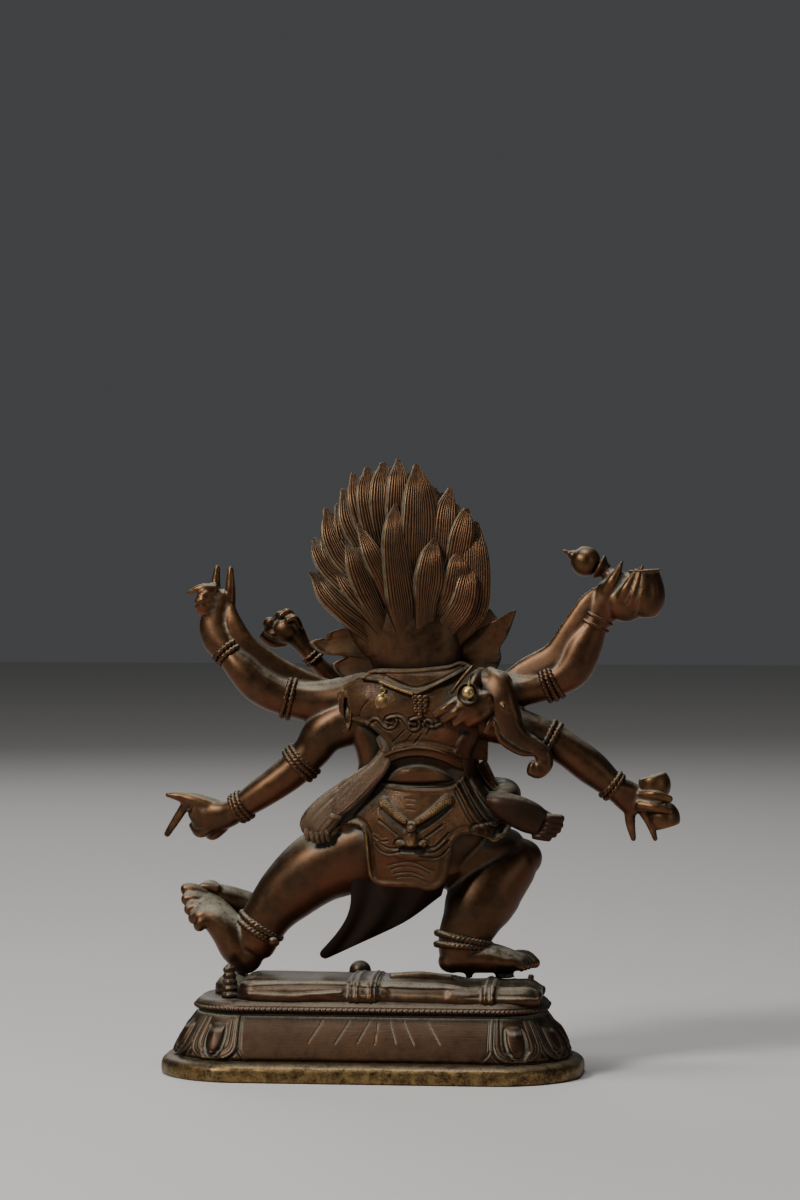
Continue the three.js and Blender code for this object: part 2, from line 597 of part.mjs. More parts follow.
// Elephant hide over the back, its collar rope, drops and hems
function hide() {
  return [
    limb([
      [-12.5, 3, 76.5, 13.5, 11], [-13, 3, 84, 17.5, 12.2], [-14, 3, 92, 19.6, 12],
      [-14.5, 2, 99, 19.2, 9.8],
      [-14, 2, 104, 10, 7.4],
    ], { sides: 10, bulge: 0.05, point: 0.1 }),
    rod([[2.5, 9.5, 101.6], [-6, 13.6, 98], [-15.2, 15, 95.2], [-22, 13.4, 99.4], [-29.4, 9.6, 103]], 1),
    limb([[-15.6, 15.2, 95, 1.2, 1], [-16, 15.8, 91.6, 1.7, 1.2], [-16, 15.6, 88.8, 0.7, 0.7]]),
    limb([[-3.2, 12.6, 96.6, 1, 1], [-3.8, 13.4, 93.8, 2.2, 1.8], [-4, 13, 91.2, 0.9, 1]]),
    limb([[9.5, 7.5, 95.6, 2.6, 1.4], [9.6, 7.6, 89, 2.4, 1.4], [9, 7.4, 83.6, 0.8, 1]]),
    limb([
      [3, 10, 85, 4, 2.6], [-3.4, 12.2, 79, 4, 2.4], [-1.4, 12.2, 72, 3.6, 2.4], [5, 11, 65, 3.4, 2.4],
      [12, 9.5, 58.6, 3.6, 2.6], [16, 8.5, 52.8, 3.8, 3],
    ], { sides: 7 }),
    rod([[-5.6, 14, 76.4], [-12, 15.2, 78.2], [-17.5, 15.4, 78.8], [-23, 14.6, 78], [-28, 12, 76.2]], 1),
  ];
}

// Elephant head at the shoulder, with its trunk curled up at the end
function elephantHead() {
  return [
    limb([
      [-34.6, 7.4, 102.6, 3.4, 3.6], [-39.4, 9.2, 99, 5.6, 5.4], [-42.7, 11.4, 89.4, 5.4, 5.6],
      [-44, 11.6, 84.8, 4.5, 4.6], [-47.6, 11.6, 81.6, 3.7, 3.8], [-55.2, 11.6, 77, 2.7, 2.9],
      [-55.5, 11.6, 73.8, 2.5, 2.6], [-51, 11.6, 72.6, 1.9, 2],
    ], { sides: 8 }),
    limb([[-33, 10, 99, 3, 2], [-34, 12.5, 92, 5, 2.4], [-35, 12.5, 86, 3, 1.8]], { sides: 7 }),
    finger([[-40, 13, 84.6], [-39.6, 16, 81], [-41.6, 17.4, 79]], 1.3, 0.7),
  ];
}

// Limbs of the hide stretched up behind the two raised arms
function hideLimbs() {
  return [
    limb([
      [8, -4, 97, 5, 1.6], [24, -3.5, 99, 5, 1.6], [37, -3, 107, 4.6, 1.6], [43, -3, 117, 3, 1.6],
      [44, -2, 121, 1.4, 1.3],
    ]),
    limb([
      [-36, -5, 98, 5, 1.6], [-48, -5, 101.6, 4.6, 1.6], [-57, -4.6, 109, 4, 1.6],
      [-63, -4, 119, 3.4, 1.6], [-67.5, -3, 127, 1.8, 1.4],
    ]),
  ];
}

// Hair: a leaning flame of pointed locks in three layers
const NAPE = { left: -3, right: -24, z: 105 };
const REAR_TIPS = [
  [19.2, 131.4], [18.3, 142], [15.4, 152], [9.2, 158.2], [6.4, 163.4], [1.8, 164.8], [-3.2, 166.2],
  [-8.2, 167.5], [-14.2, 165.6], [-20.1, 158.6], [-25.1, 158.2], [-30.2, 150.2], [-32.2, 147.4],
  [-35, 138.5], [-35, 129.4],
];
const OVER_TIPS = [
  [12, 134.5], [6.5, 146], [0.2, 140.4], [-2.6, 156], [-8.4, 152.8], [-15, 163], [-20, 143.2], [-25, 150],
  [-28.4, 139],
];

// A fan of locks in one skin: a ridge to each tip and a shorter valley between neighbours.
// Each section is a leaf from the nape outwards, as thick on its near and far sides as their lists say.
// Its valleys are lower than its ridges, except on the side that another fan covers.
function lockFan(tips, depth, near, far, { notch, shrink = 1, valley = 0.62, covered = 0 }) {
  const shares = [0, 0.5];
  const sections = [];
  const last = 2 * (tips.length - 1);
  for (let i = 0; i <= last; i += 1) {
    const ridge = i % 2 === 0;
    const [ax, az] = tips[Math.floor(i / 2)];
    const [bx, bz] = tips[Math.ceil(i / 2)];
    const reach = (ridge ? 1 : notch) * shrink;
    const root = at(lerp(NAPE.left, NAPE.right, i / last), depth, NAPE.z);
    const tip = at(lerp(root.x, (ax + bx) / 2, reach), depth, lerp(root.z, (az + bz) / 2, reach));
    const bow = (tip.x + 9) * 0.16;
    const spot = (share, out) => {
      const place = root.clone().lerp(tip, share);
      place.x += bow * Math.sin(Math.PI * share);
      place.y += out;
      return place;
    };
    const dip = ridge ? 1 : valley;
    const rise = (side) => (side === covered ? 1 : dip);
    const nearSide = shares.map((share, k) => spot(share, near[k] * rise(1)));
    const farSide = shares.map((share, k) => spot(share, -far[k] * rise(-1))).reverse();
    sections.push([...nearSide, spot(1, 0), ...farSide]);
  }
  const middleOf = (ring) => ring.reduce((sum, p) => sum.add(p), at(0, 0, 0)).divideScalar(ring.length);
  return skin(sections, middleOf(sections[0]), middleOf(sections[last]));
}

function hair() {
  const frontTips = REAR_TIPS.filter((tip, i) => i % 2);
  return [
    lockFan(REAR_TIPS, 3, [8, 9.5], [7, 8], { notch: 0.88 }),
    lockFan(OVER_TIPS, 9, [3.8, 5.4], [6, 6.4], { notch: 0.82, valley: 0.4, covered: -1 }),
    lockFan(frontTips, -4.5, [6, 6.6], [4, 6], { notch: 0.84, shrink: 0.9, valley: 0.5, covered: 1 }),
    limb([[-13.5, 3.5, 103.6, 12.5, 6], [-13, 3.5, 108, 13.5, 8.5]], { sides: 8, bulge: 0.05, point: 0.1 }),
  ];
}

// Head: a round wrathful face of the usual kind, with a crown of five leaves and ear ribbons
function head() {
  const middle = HEAD_MIDDLE;
  const features = [
    ball([middle, HEAD_DEPTH, HEAD_LEVEL], [13, 13.5, 15.5], 10, 7),
    limb([
      [middle, -18, 124, 1.6, 1.6], [middle, -19.4, 119, 2.6, 2.4], [middle, -18.4, 116.6, 3, 1.8],
    ]),
    limb([
      [middle - 5.4, -16.2, 111.6, 1.3, 1.4], [middle, -18, 112.4, 1.7, 1.6],
      [middle + 5.4, -16.2, 111.6, 1.3, 1.4],
    ], { axis: UPRIGHT }),
    ball([middle, -17.2, 127.6], [1.4, 1.2, 2], 7, 4),
  ];
  for (const side of [-1, 1]) {
    features.push(ball([middle + side * 5.4, -16.4, 121.2], [2.6, 1.9, 2.1], 6, 4));
    features.push(limb([
      [middle + side * 1.6, -18, 123.6, 1, 1.3], [middle + side * 5.4, -17.6, 125.8, 1.5, 1.6],
      [middle + side * 9.6, -13.6, 124.6, 0.9, 1.2],
    ], { sides: 5, axis: UPRIGHT }));
    features.push(limb([
      [middle + side * 12.4, -4, 124, 1.8, 2.6], [middle + side * 13.2, -4, 117, 2, 3],
      [middle + side * 13, -5, 111.4, 1.2, 1.5], [middle + side * 13.2, -5, 107.6, 2, 2],
    ], { sides: 5 }));
  }
  return features;
}

function crown() {
  const half = (CROWN_LEAVES - 1) / 2;
  return Array.from({ length: CROWN_LEAVES }, (_, i) => {
    const turn = THREE.MathUtils.degToRad((i - half) * 34);
    const x = HEAD_MIDDLE + CROWN_RADIUS * Math.sin(turn);
    const y = HEAD_DEPTH - CROWN_RADIUS * Math.cos(turn);
    const high = i === half ? 143 : 140.5;
    const axis = at(Math.sin(turn), -Math.cos(turn), 0);
    return limb([[x, y, 125, 3.6, 2.6], [x, y, 133.4, 4, 2.8], [x, y, high, 0.5, 0.6]], { sides: 4, axis });
  });
}

function earRibbons() {
  const left = [
    [2, 104], [8, 100.6], [12.2, 103.4], [9.4, 106.6], [19.6, 108.9], [17, 112.6], [13.6, 111.4],
    [12.6, 116], [4, 118],
  ];
  const right = [
    [-29, 101], [-35.4, 100.8], [-39.6, 105.6], [-40.6, 110], [-43.4, 114.2], [-44.6, 120.6], [-40.2, 118],
    [-37.4, 121.4], [-34, 120.4], [-27, 112],
  ];
  return [plate(left, -3.4, 0.4), plate(right, -3.4, 0.4)];
}

// Consort in front, facing him, one leg along his stretched leg and the other round his hip
function consort() {
  const body = limb([
    [-14, -19, 57, 8.5, 7.5], [-14, -19.5, 63, 9.6, 8], [-13, -19.5, 71, 6.6, 6], [-12.4, -18.5, 80, 8, 6.4],
    [-12, -17.5, 86, 9, 5.4], [-12, -17.5, 90.6, 3.6, 3.8],
  ], { sides: 8 });
  const raisedArm = limb(ringed([
    [-3.5, -17, 86, 3.8, 3.8], [5, -16.4, 90.4, 3.4, 3.4], [13.2, -15, 97.4, 3, 3],
    [21, -14, 105.2, 2.3, 2.3],
    [24.8, -14, 110.6, 3.6, 2.8], [28.4, -14, 115.4, 3.6, 2.8],
  ], [3], 0.7, 0.9));
  const embracingArm = limb([
    [-20, -17, 87, 3.8, 3.8], [-32.5, -14, 94.5, 3.6, 3.6], [-34.5, -2, 101.6, 3.2, 3.2],
    [-33.4, 7, 102.2, 3.6, 2.6], [-31.2, 13.4, 99, 4.2, 2.4], [-30.2, 15.4, 93.2, 4.4, 2.4],
  ], { axis: SIDEWAYS });
  const standingLeg = limb([
    [-10, -18, 58, 8, 7.6], [2, -17.5, 49, 6.6, 6.6], [15, -16, 40, 5.4, 5.4], [28, -13, 32, 4.8, 4.8],
    [38, -10.6, 27.6, 3.4, 3.6],
  ]);
  const standingFoot = limb([[39, -10, 27, 3, 3.4], [46, -9.6, 30, 3.6, 3.6], [54.4, -9.4, 33.4, 2, 4]]);
  const wrappedLeg = limb([
    [-20, -18, 60, 8, 7.6], [-32, -16, 64, 6.2, 6.2], [-40.4, -9, 66.6, 5, 5], [-42.6, 2, 67, 4.3, 4.3],
    [-41, 11.6, 64.4, 3.6, 3.6],
  ], { axis: UPRIGHT });
  const wrappedFoot = limb([
    [-39, 13, 61.6, 3, 3.2], [-46, 14.2, 59.3, 4.5, 3.2], [-51.6, 14.2, 57, 4.8, 2.7],
    [-56.4, 14, 55, 3.8, 2.2],
  ]);
  const wrappedToes = [0, 1, 2, 3, 4].map((i) =>
    finger([[-55.5 + i * 0.5, 14, 57 - i * 1.5], [-58.4 + i * 0.7, 14, 56 - i * 1.5]], 1.4, 1));
  return [
    body, raisedArm, embracingArm, standingLeg, standingFoot, wrappedLeg, wrappedFoot, ...wrappedToes,
    ball([-12, -20, 99], [6.6, 7, 8]),
    limb([
      [-12, -26.6, 103, 4, 1.8], [-12.4, -28, 95, 6, 2.6], [-13, -26.4, 84, 5, 2.4],
      [-13.6, -26.6, 75, 1, 1],
    ]),
    ball([-12, -21, 107.6], [2.8, 2.8, 3.4], 6, 4),
    ball([34.2, -14, 115.4], [2, 2.4, 2.2], 6, 4),
    limb([[27, -15, 112, 3.4, 3], [31.4, -15, 111.4, 2.8, 2.4], [36, -14.6, 113.4, 1, 1.2]]),
  ];
}

// The consort's cup with its pointed knob, held against his shoulder blade
function shoulderCup() {
  const cup = [[0, -1.4], [3.2, -1.2], [3.6, 0.8], [2.6, 2.6], [1.2, 3.2], [1.4, 4.4], [0, 5.8]];
  const hand = limb([
    [-36.6, 13.6, 91, 2.6, 2.6], [-32, 15.2, 89.8, 4.2, 3], [-27, 15.4, 88.9, 3.4, 2.6],
    [-23.4, 15, 88.4, 1.6, 1.6],
  ]);
  const ribs = [0, 1, 2, 3].map((i) => finger([
    [-28.4 - i * 3.1, 17.2, 92.8 - i * 0.4], [-25.6 - i * 3.2, 18, 90.2 - i * 0.6],
    [-22.8 - i * 3.6, 17, 88 - i * 0.5],
  ], 1.5, 1.1));
  return [turned(cup, [-31.2, 15.6, 95.8], [-0.05, 1, 0.25]), hand, ...ribs];
}

function figure() {
  return joined([
    ...trunk(), ...arms(), ...heldThings(), ...legs(), ...toes(), ...footPegs(), ...skirt(),
    ...tigerMask(), ...hide(), ...elephantHead(), ...hideLimbs(), ...hair(), ...head(), ...crown(),
    ...earRibbons(), ...consort(), ...shoulderCup(),
  ]);
}

const bronze = (tint) => new THREE.MeshStandardMaterial({ color: tint, metalness: 0.85, roughness: 0.45 });

function mesh(name, made, material) {
  const piece = new THREE.Mesh(withoutShortEdges(geometryOf(made), SHORTEST_EDGE), material);
  piece.name = name;
  return piece;
}

const model = new THREE.Group();
model.add(mesh("plinth", plinth(), bronze(0x5a3f2a)));
const figureMesh = mesh("figure", figure(), bronze(0x4c2f20));
figureMesh.scale.setScalar(MODULE);
figureMesh.position.z = PLINTH_HEIGHT + PRONE_HEIGHT + SEAT_GAP - SOLE_LEVEL * MODULE;
model.add(figureMesh);

export default model;
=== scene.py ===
"""Bronze figure of a many-armed protector on an oblong lotus plinth: the finished look."""

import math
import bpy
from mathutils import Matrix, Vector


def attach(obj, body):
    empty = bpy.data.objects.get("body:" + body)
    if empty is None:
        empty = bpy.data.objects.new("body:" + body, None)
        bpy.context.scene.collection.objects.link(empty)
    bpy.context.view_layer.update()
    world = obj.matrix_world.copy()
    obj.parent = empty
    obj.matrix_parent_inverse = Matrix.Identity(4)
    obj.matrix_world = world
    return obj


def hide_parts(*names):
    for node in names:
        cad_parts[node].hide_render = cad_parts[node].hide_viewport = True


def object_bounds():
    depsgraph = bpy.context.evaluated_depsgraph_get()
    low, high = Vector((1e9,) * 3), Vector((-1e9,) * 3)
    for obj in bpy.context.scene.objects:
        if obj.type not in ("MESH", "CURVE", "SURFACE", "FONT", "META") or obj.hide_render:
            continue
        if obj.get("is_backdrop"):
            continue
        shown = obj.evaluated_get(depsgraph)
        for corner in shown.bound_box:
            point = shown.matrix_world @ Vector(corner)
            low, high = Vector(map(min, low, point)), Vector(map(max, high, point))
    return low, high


bl_info = {
    "name": "Bronze protector figure",
    "version": (1, 0, 0),
    "blender": (4, 5, 0),
    "location": "View3D > Sidebar > Bronze",
    "description": "Builds the castings, their chased detail and their worn, dusty patina",
    "category": "Object",
}

from types import SimpleNamespace

import bpy
import numpy as np
from mathutils import Vector

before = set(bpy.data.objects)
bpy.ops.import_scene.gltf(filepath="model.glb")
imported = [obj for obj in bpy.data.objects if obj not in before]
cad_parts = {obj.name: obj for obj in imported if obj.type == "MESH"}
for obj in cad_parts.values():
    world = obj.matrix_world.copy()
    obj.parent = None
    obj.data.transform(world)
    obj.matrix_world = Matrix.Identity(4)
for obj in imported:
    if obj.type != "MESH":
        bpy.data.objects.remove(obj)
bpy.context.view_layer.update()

MM = 0.001
PLATE_TOP = 24.0

# Rows of the half dome that closes a limb, the least half width of a limb in millimetres, the way
# that a rope's first strand faces, and a rope's sides and its step in millimetres
DOME_ROWS = 5
LEAST_HALF = 0.02
ROPE_FACES = (0.1, 0.2, 1.0)
ROPE_SIDES = 10
ROPE_STEP = 0.2


# Whole-array geometry


def spline(rows, t):
    """Catmull-Rom curve through the rows at parameters t: each span is the cubic whose end
    slopes are half the step between the rows on either side."""
    rows = np.asarray(rows, float)
    padded = np.vstack([2 * rows[0] - rows[1], rows, 2 * rows[-1] - rows[-2]])
    i = np.clip(t.astype(int), 0, len(rows) - 2)
    f = (t - i)[:, None]
    a, b, c, d = (padded[i + k] for k in range(4))
    square, cube = f**2, f**3
    return 0.5 * (2 * b + (c - a) * f + (2 * a - 5 * b + 4 * c - d) * square + (3 * b - a - 3 * c + d) * cube)


def run_so_far(points):
    """The length along a broken line up to each of its points."""
    return np.concatenate([[0], np.cumsum(np.linalg.norm(np.diff(points, axis=0), axis=1))])


def even(rows, step):
    """Parameters at even steps of length along the curve through the rows, and its length."""
    t = np.linspace(0, len(rows) - 1, 24 * len(rows))
    run = run_so_far(spline(rows, t)[:, :3])
    count = max(int(run[-1] / step), 4) + 1
    return np.interp(np.linspace(0, run[-1], count), run, t), run[-1]


def curve(points, step=0.4):
    """A smooth line through points, as close points at even steps."""
    points = np.asarray(points, float)
    wide = np.pad(points, ((0, 0), (0, 3 - points.shape[1])))
    return spline(wide, even(wide, step)[0])[:, : points.shape[1]]


def unit(vectors):
    """Each vector divided by its length."""
    return vectors / np.maximum(np.linalg.norm(vectors, axis=-1, keepdims=True), 1e-9)


def circle(count):
    """Angles evenly round a full turn."""
    return np.linspace(0, 2 * math.pi, count, endpoint=False)


def boxy(turns, power):
    """Scale of a round section that squares it: the circle's rule with a power above two."""
    return (np.abs(np.cos(turns)) ** power + np.abs(np.sin(turns)) ** power) ** (-1 / power)


def cells(rows, columns):
    """The row and the column of every cell of a grid."""
    return (k.ravel() for k in np.meshgrid(np.arange(rows), np.arange(columns), indexing="ij"))


def skin(points, closed_run=False, grain=None, wear=0.0):
    """A grid of points as a surface: rows along the shape and columns round it. With a closed run
    the last row joins the first."""
    rows, columns = points.shape[:2]
    i, j = cells(rows if closed_run else rows - 1, columns)
    above, beside = (i + 1) % rows, (j + 1) % columns
    faces = np.stack(
        [i * columns + j, above * columns + j, above * columns + beside, i * columns + beside], 1,
    )
    if grain is None:
        grain = np.zeros_like(points)
    return {"points": points.reshape(-1, 3), "faces": faces, "grain": grain.reshape(-1, 3), "wear": wear}


def tube(stations, around=24, step=0.6, axis=(0, 1, 0), start=0.6, end=0.6, section=None, wear=0.0):
    """A limb: an ellipse whose centre and two half widths follow a curve through the stations
    (x, y, z, half width, half depth), closed by a half dome at each end. A section function of
    the turn and the share of the run scales the ellipse."""
    t, length = even(stations, step)
    rows = spline(stations, t)
    rows[:, 3:] = np.maximum(rows[:, 3:], LEAST_HALF)
    ahead = unit(np.gradient(rows[:, :3], axis=0))
    domes = np.linspace(math.pi / 2, 0, DOME_ROWS + 1)[:-1]
    swell = rows[:, 3:].mean(1)
    first = rows[0, :3] - np.outer(np.sin(domes) * start * swell[0], ahead[0])
    last = rows[-1, :3] + np.outer(np.sin(domes[::-1]) * end * swell[-1], ahead[-1])
    centre = np.vstack([first, rows[:, :3], last])
    halves = np.vstack(
        [np.outer(np.cos(domes), rows[0, 3:]), rows[:, 3:], np.outer(np.cos(domes[::-1]), rows[-1, 3:])]
    )
    ahead = np.vstack([np.repeat(ahead[:1], DOME_ROWS, 0), ahead, np.repeat(ahead[-1:], DOME_ROWS, 0)])
    across = unit(np.cross(ahead, axis))
    deep = np.cross(across, ahead)
    along = np.linspace(0, length, len(rows))
    run = np.concatenate([np.zeros(DOME_ROWS), along, np.full(DOME_ROWS, length)])
    turns, runs = np.meshgrid(circle(around), run)
    scale = np.ones_like(turns) if section is None else section(turns, runs / max(length, 1e-6))
    side = (halves[:, :1] * scale * np.cos(turns))[..., None] * across[:, None]
    out = (halves[:, 1:] * scale * np.sin(turns))[..., None] * deep[:, None]
    widest = rows[:, 3].max()
    grain = np.stack([np.cos(turns) * widest, runs, np.full_like(runs, float(stations[0][0]))], -1)
    return skin(centre[:, None] + side + out, grain=grain, wear=wear)


def ball(centre, halves, around=24, rows=14, wear=0.0):
    """An ellipsoid by latitude and turn."""
    tilt, turn = np.meshgrid(np.linspace(-math.pi / 2, math.pi / 2, rows), circle(around), indexing="ij")
    shape = np.stack([np.cos(tilt) * np.cos(turn), -np.cos(tilt) * np.sin(turn), np.sin(tilt)], -1)
    return skin(shape * halves + centre, wear=wear)


def turned(profile, place, direction, around=40, step=0.35, scallop=None, wear=0.0):
    """A profile of (radius, height) carried round an axis: a scallop function of turn and height
    share scales its radius, as ribs do."""
    dense = curve(profile, step)
    dense[:, 0] = np.maximum(dense[:, 0], 0)
    dense[0, 0] = dense[-1, 0] = 0
    turns, share = np.meshgrid(circle(around), np.linspace(0, 1, len(dense)))
    radius = dense[:, :1] * (1 if scallop is None else scallop(turns, share))
    up = unit(np.asarray(direction, float))
    side = unit(np.cross(up, (0, 1, 0.02) if abs(up[1]) < 0.9 else (1, 0, 0)))
    front = np.cross(up, side)
    points = (
        np.asarray(place, float)
        + (radius * np.cos(turns))[..., None] * side
        + (radius * np.sin(turns))[..., None] * front
        + (dense[:, 1:] * np.ones_like(turns))[..., None] * up
    )
    return skin(points[:, ::-1], wear=wear)


def rope(path, radius, pitch=1.35, twist=0.26, closed=False, wear=0.1):
    """A two-strand rope along a path: the radius swells twice a turn, and the swelling climbs
    one turn in each pitch."""
    if closed:
        ring = np.vstack([path, path[:3]])
        t, length = even(ring, ROPE_STEP)
        t = t[(t >= 1) & (t <= len(path) + 1 - 1e-6)]
        line = spline(ring, t)
        ahead = unit(np.roll(line, -1, 0) - np.roll(line, 1, 0))
        length = np.linalg.norm(np.roll(line, -1, 0) - line, axis=1).sum()
        pitch = length / max(round(length / pitch), 1)
    else:
        t, length = even(path, ROPE_STEP)
        line = spline(path, t)
        ahead = unit(np.gradient(line, axis=0))
    across = unit(np.cross(ahead, ROPE_FACES))
    deep = np.cross(across, ahead)
    turns, runs = np.meshgrid(circle(ROPE_SIDES), np.linspace(0, length, len(line), endpoint=not closed))
    swell = radius * (1 - twist + 2 * twist * np.abs(np.sin(turns - math.pi * runs / pitch)))
    points = (
        line[:, None] + (swell * np.cos(turns))[..., None] * across[:, None]
        + (swell * np.sin(turns))[..., None] * deep[:, None]
    )
    if not closed:
        points[0], points[-1] = line[0], line[-1]
    return skin(points, closed_run=closed, wear=wear)


def near(x, z, line, step=None):
    """Distance of every grid point to a broken line: the least over its straight pieces. With a
    step, the line is first made smooth, with points that far apart."""
    p = np.stack([x, z], -1)
    line = np.asarray(line, float) if step is None else curve(line, step)
    best = np.full(x.shape, 1e9)
    for a, b in zip(line[:-1], line[1:]):
        along = np.clip(((p - a) @ (b - a)) / max((b - a) @ (b - a), 1e-9), 0, 1)
        best = np.minimum(best, np.linalg.norm(p - a - along[..., None] * (b - a), axis=-1))
    return best


def hump(distance, half):
    """A smooth hump: one at the middle, level at the half width, nothing beyond."""
    return np.clip(1 - (distance / half) ** 2, 0, 1) ** 2


def step_up(value, low, high):
    """A smooth step from 0 at low to 1 at high."""
    share = np.clip((value - low) / (high - low), 0, 1)
    return share * share * (3 - 2 * share)


def chased(high, x, z, lines, step, rise, half, lip=0.0, away=0.0, lip_half=1.0):
    """The height once lines are chased in it: each rises or falls by a hump along the line, with
    a lip or a groove a little way off on both sides."""
    for line in lines:
        off = near(x, z, line, step)
        high = high + rise * hump(off, half) + lip * hump(off - away, lip_half)
    return high


def slab(front, back, grain=None, wear=0.0):
    """A closed slab between two grids of the same size, joined along their four borders."""
    rows, columns = front.shape[:2]
    count = rows * columns
    i, j = cells(rows - 1, columns - 1)
    a = i * columns + j
    face = np.stack([a, a + columns, a + columns + 1, a + 1], 1)
    border = np.concatenate([
        np.arange(columns - 1), np.arange(rows - 1) * columns + columns - 1,
        (rows - 1) * columns + np.arange(columns - 1, 0, -1), np.arange(rows - 1, 0, -1) * columns,
    ])
    after = np.roll(border, -1)
    walls = np.stack([border, after, after + count, border + count], 1)
    faces = np.vstack([face, face[:, ::-1] + count, walls])
    points = np.concatenate([front.reshape(-1, 3), back.reshape(-1, 3)])
    if grain is None:
        grain = np.zeros_like(points)
    else:
        grain = np.tile(grain.reshape(-1, 3), (2, 1))
    if np.ndim(wear):
        wear = np.tile(np.ravel(wear), 2)
    return {"points": points, "faces": faces, "grain": grain, "wear": wear}


def panel(top, bottom, rows, columns):
    """Places in x and z between a top and a bottom line: straight from one to the other."""
    across = np.linspace(0, 1, columns)

    def along(line):
        line = curve(line, 0.3)
        run = run_so_far(line)
        share = run / run[-1]
        return np.stack([np.interp(across, share, line[:, k]) for k in range(2)], -1)

    high, low = along(top), along(bottom)
    down = np.linspace(0, 1, rows)[:, None, None]
    place = high * (1 - down) + low * down
    return place[..., 0], place[..., 1]


# Meshes


# Rounds of smoothing that a fine and a broad hollow are measured by, and the cells and the margin,
# in millimetres, of the grid in which crowding is counted
FINE_ROUNDS = 5
BROAD_ROUNDS = 24
CELL = 1.0
MARGIN = 8

# Fewer triangles than these aren't thinned, and the share and the most that are left of more
SMALL_MESH = 30000
KEPT_SHARE = 0.5
MOST_LEFT = 118000


def read_mesh(mesh):
    """The places of a mesh's vertices, the vertex at each end of every edge, and how many
    neighbours each vertex has."""
    count = len(mesh.vertices)
    places = np.empty(count * 3)
    mesh.vertices.foreach_get("co", places)
    edges = np.empty(len(mesh.edges) * 2, int)
    mesh.edges.foreach_get("vertices", edges)
    one, other = edges.reshape(-1, 2).T
    neighbours = np.bincount(one, minlength=count) + np.bincount(other, minlength=count)
    return places.reshape(-1, 3), one, other, np.maximum(neighbours, 1)


def neighbour_sum(values, one, other):
    """The sum of a value over the neighbours of each vertex."""
    return np.bincount(one, values[other], len(values)) + np.bincount(other, values[one], len(values))


def measure(mesh):
    """Two vertex values of a mesh, in millimetres: how deep each vertex lies in a fine hollow and
    in a broad one. Each is the step along the normal to the place where the mean of its
    neighbours, taken over and over, would bring it."""
    places, one, other, neighbours = read_mesh(mesh)
    places = places / MM
    normals = np.empty(places.size)
    mesh.vertex_normals.foreach_get("vector", normals)
    normals = normals.reshape(-1, 3)
    moved = places.copy()
    found = []
    for rounds in (FINE_ROUNDS, BROAD_ROUNDS):
        for _ in range(rounds):
            for k in range(3):
                total = neighbour_sum(moved[:, k], one, other)
                moved[:, k] = 0.4 * moved[:, k] + 0.6 * total / neighbours
        found.append(((moved - places) * normals).sum(1))
    return places, normals, found


def soften(mesh, rounds):
    """Moves every vertex part of the way to the mean of its neighbours, then a little further
    back, so that steps go and the volume stays."""
    places, one, other, neighbours = read_mesh(mesh)
    for _ in range(rounds):
        for pull in (0.55, -0.57):
            for k in range(3):
                total = neighbour_sum(places[:, k], one, other)
                places[:, k] += pull * (total / neighbours - places[:, k])
    mesh.vertices.foreach_set("co", places.ravel())
    mesh.update()


# The pieces made so far, and the names of those that keep all their triangles, because thinning
# would show on their flat walls or close their thin leaves
PIECES = []
WHOLE = ("plinth_casting", "crown_and_drops")


def evaluated(made):
    """A new mesh of an object as its modifiers leave it."""
    return bpy.data.meshes.new_from_object(made.evaluated_get(bpy.context.evaluated_depsgraph_get()))


def piece(name, skins, lift=PLATE_TOP, voxel=0.0, rounds=0):
    """One mesh object from skins given in millimetres: joined, and where a voxel size is given
    fused into one skin at that size and softened."""
    points, faces, grains, wears, base = [], [], [], [], 0
    for part in skins:
        points.append(part["points"])
        grains.append(part["grain"])
        wears.append(np.full(len(part["points"]), part["wear"]))
        faces.append(part["faces"] + base)
        base += len(part["points"])
    places = (np.concatenate(points) + (0, 0, lift)) * MM
    mesh = bpy.data.meshes.new(name)
    mesh.from_pydata(places.tolist(), [], np.concatenate(faces).tolist())
    mesh.attributes.new("grain", "FLOAT_VECTOR", "POINT").data.foreach_set(
        "vector", np.concatenate(grains).ravel(),
    )
    mesh.attributes.new("wear", "FLOAT", "POINT").data.foreach_set("value", np.concatenate(wears))
    made = bpy.data.objects.new(name, mesh)
    bpy.context.scene.collection.objects.link(made)
    tidy = made.modifiers.new("Weld", "WELD")
    tidy.merge_threshold = 1e-6
    if voxel:
        fuse = made.modifiers.new("Fuse", "REMESH")
        fuse.mode = "VOXEL"
        fuse.voxel_size = voxel * MM
    done = evaluated(made)
    made.modifiers.clear()
    made.data = done
    bpy.data.meshes.remove(mesh)
    done.name = name
    if rounds:
        soften(done, rounds)
    done.polygons.foreach_set("use_smooth", np.full(len(done.polygons), True))
    PIECES.append(made)
    return made


